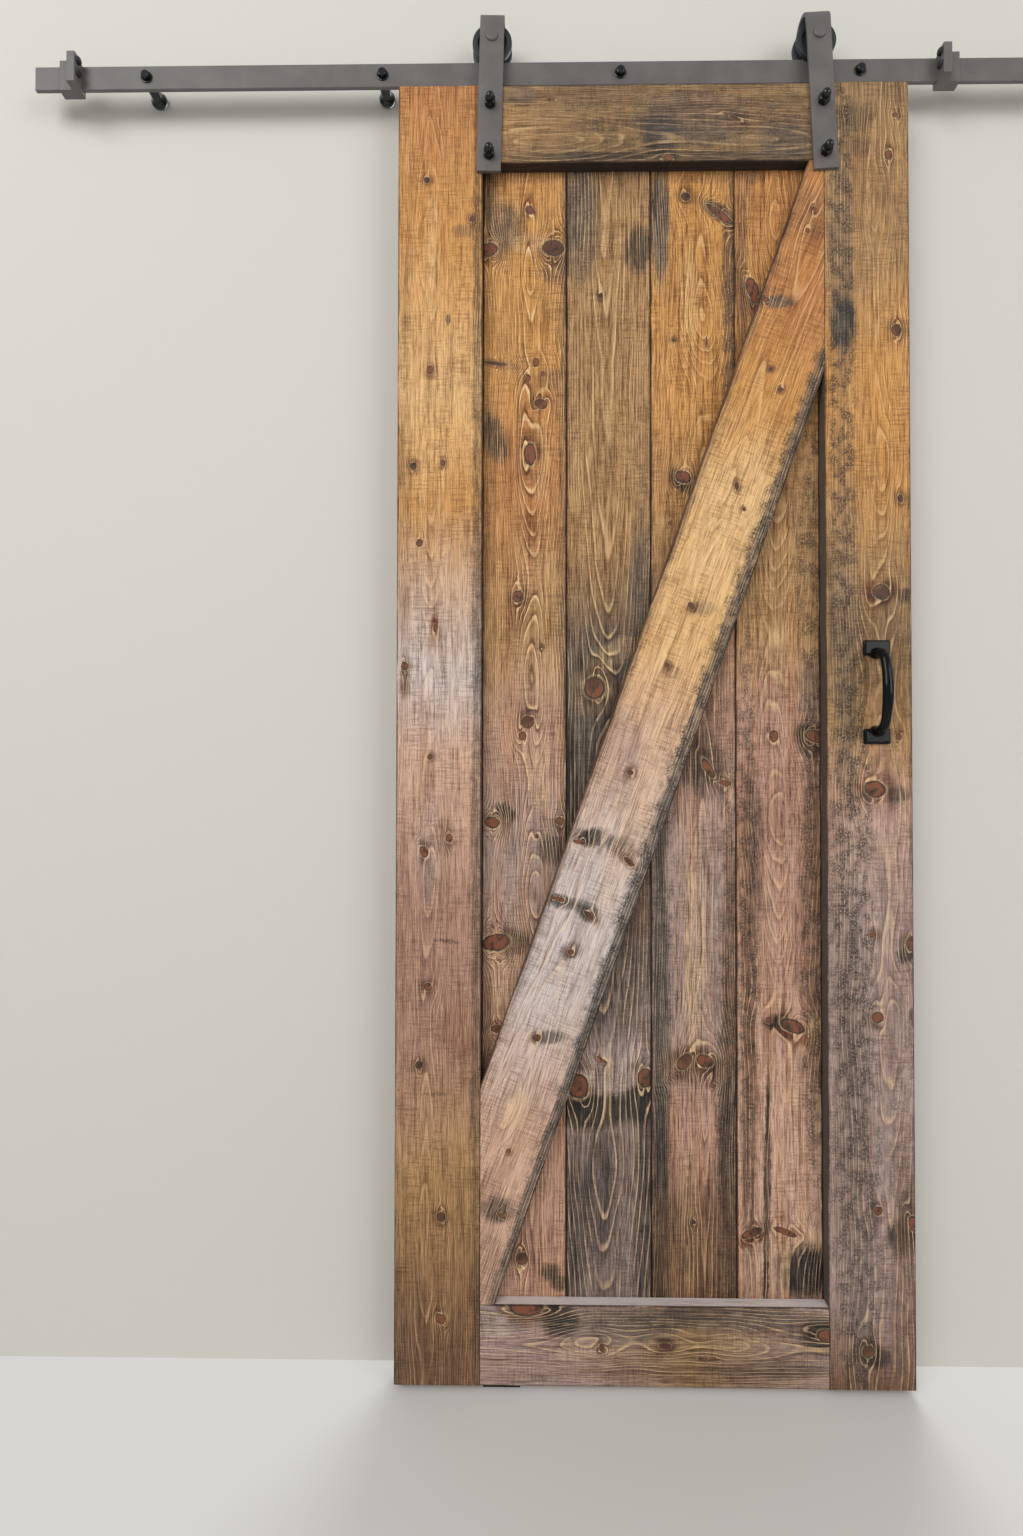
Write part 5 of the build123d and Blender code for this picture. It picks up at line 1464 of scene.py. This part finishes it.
class PLANK_OT_studio(bpy.types.Operator):
    """Sets up the floor, the backdrop, soft lamps and the camera"""
    bl_idname = "plank.studio"
    bl_label = "Studio"

    def execute(self, context):
        scene, studio = context.scene, context.scene.plank_studio
        half, floor_z = studio.floor_size / 2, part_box("floor_guide")[0].z
        floor = plane("floor", [(-half, -half, floor_z), (half, -half, floor_z),
                                (half, half, floor_z), (-half, half, floor_z)])
        paint(floor, stage_finish("floor", studio.floor, 0.7))
        gap = studio.backdrop_gap
        backdrop = plane("backdrop", [(-half, gap, floor_z), (half, gap, floor_z),
                                      (half, gap, floor_z + half), (-half, gap, floor_z + half)])
        surface = Finish("backdrop")
        surface.set(base_color=studio.backdrop, roughness=0.8, specular_ior_level=0.1)
        behind = surface.node("ShaderNodeNewGeometry", output="Backfacing")
        clear = surface.node("ShaderNodeBsdfTransparent")
        seen = surface.node("ShaderNodeMixShader", None,
                            {0: behind, 1: Field(surface.tree, surface.shader.outputs[0]), 2: clear})
        out = surface.tree.nodes["Material Output"]
        surface.tree.links.new(seen.socket, out.inputs["Surface"])
        paint(backdrop, surface.material)
        backdrop.visible_shadow = backdrop.visible_diffuse = backdrop.visible_glossy = False
        middle = (0.0, -0.04, floor_z + 1.15)
        lamp("key", (-2.6, -3.4, 1.3), middle, (2.6, 2.6), studio.key_power)
        lamp("fill", (3.0, -3.2, 0.2), middle, (2.4, 2.4), studio.fill_power)
        lamp("rear", (1.2, 3.4, 0.8), middle, (3.0, 2.4), studio.back_power)
        world = bpy.data.worlds.new("studio")
        scene.world = world
        world.use_nodes = True
        background = world.node_tree.nodes["Background"]
        background.inputs["Color"].default_value = (*studio.sky_tone, 1.0)
        background.inputs["Strength"].default_value = studio.sky
        scene.view_settings.view_transform = "Standard"
        camera = bpy.data.cameras.new("camera")
        camera.lens, camera.sensor_width, camera.clip_start = studio.lens, SENSOR_SIZE, 0.01
        made = bpy.data.objects.new("camera", camera)
        made.matrix_world = Matrix.Translation(CAMERA_PLACE) @ camera_turn().to_4x4()
        scene.collection.objects.link(made)
        scene.camera = made
        return {"FINISHED"}


class PLANK_PT_panel(bpy.types.Panel):
    """Lists the door's pieces and their settings"""
    bl_label = "Plank Door"
    bl_idname = "PLANK_PT_panel"
    bl_space_type = "VIEW_3D"
    bl_region_type = "UI"
    bl_category = "Plank Door"

    def draw(self, context):
        for step in STEPS:
            self.layout.operator(step.bl_idname)
        for name, group in SETTINGS.items():
            box = self.layout.box()
            box.label(text=group.__doc__)
            for label in group.__annotations__:
                box.prop(getattr(context.scene, name), label)


STEPS = (PLANK_OT_boards, PLANK_OT_hardware, PLANK_OT_fasteners, PLANK_OT_hangers, PLANK_OT_pull,
         PLANK_OT_studio)


def register():
    for group in SETTINGS.values():
        bpy.utils.register_class(group)
    for step in (*STEPS, PLANK_PT_panel):
        bpy.utils.register_class(step)
    for name, group in SETTINGS.items():
        setattr(bpy.types.Scene, name, bpy.props.PointerProperty(type=group))


def unregister():
    for name in SETTINGS:
        delattr(bpy.types.Scene, name)
    for step in (PLANK_PT_panel, *reversed(STEPS)):
        bpy.utils.unregister_class(step)
    for group in SETTINGS.values():
        bpy.utils.unregister_class(group)


def main():
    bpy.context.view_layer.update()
    register()
    for step in STEPS:
        space, action = step.bl_idname.split(".")
        if getattr(getattr(bpy.ops, space), action)() != {"FINISHED"}:
            raise RuntimeError(f"{step.bl_label} did not finish")


if __name__ == "__main__":
    main()
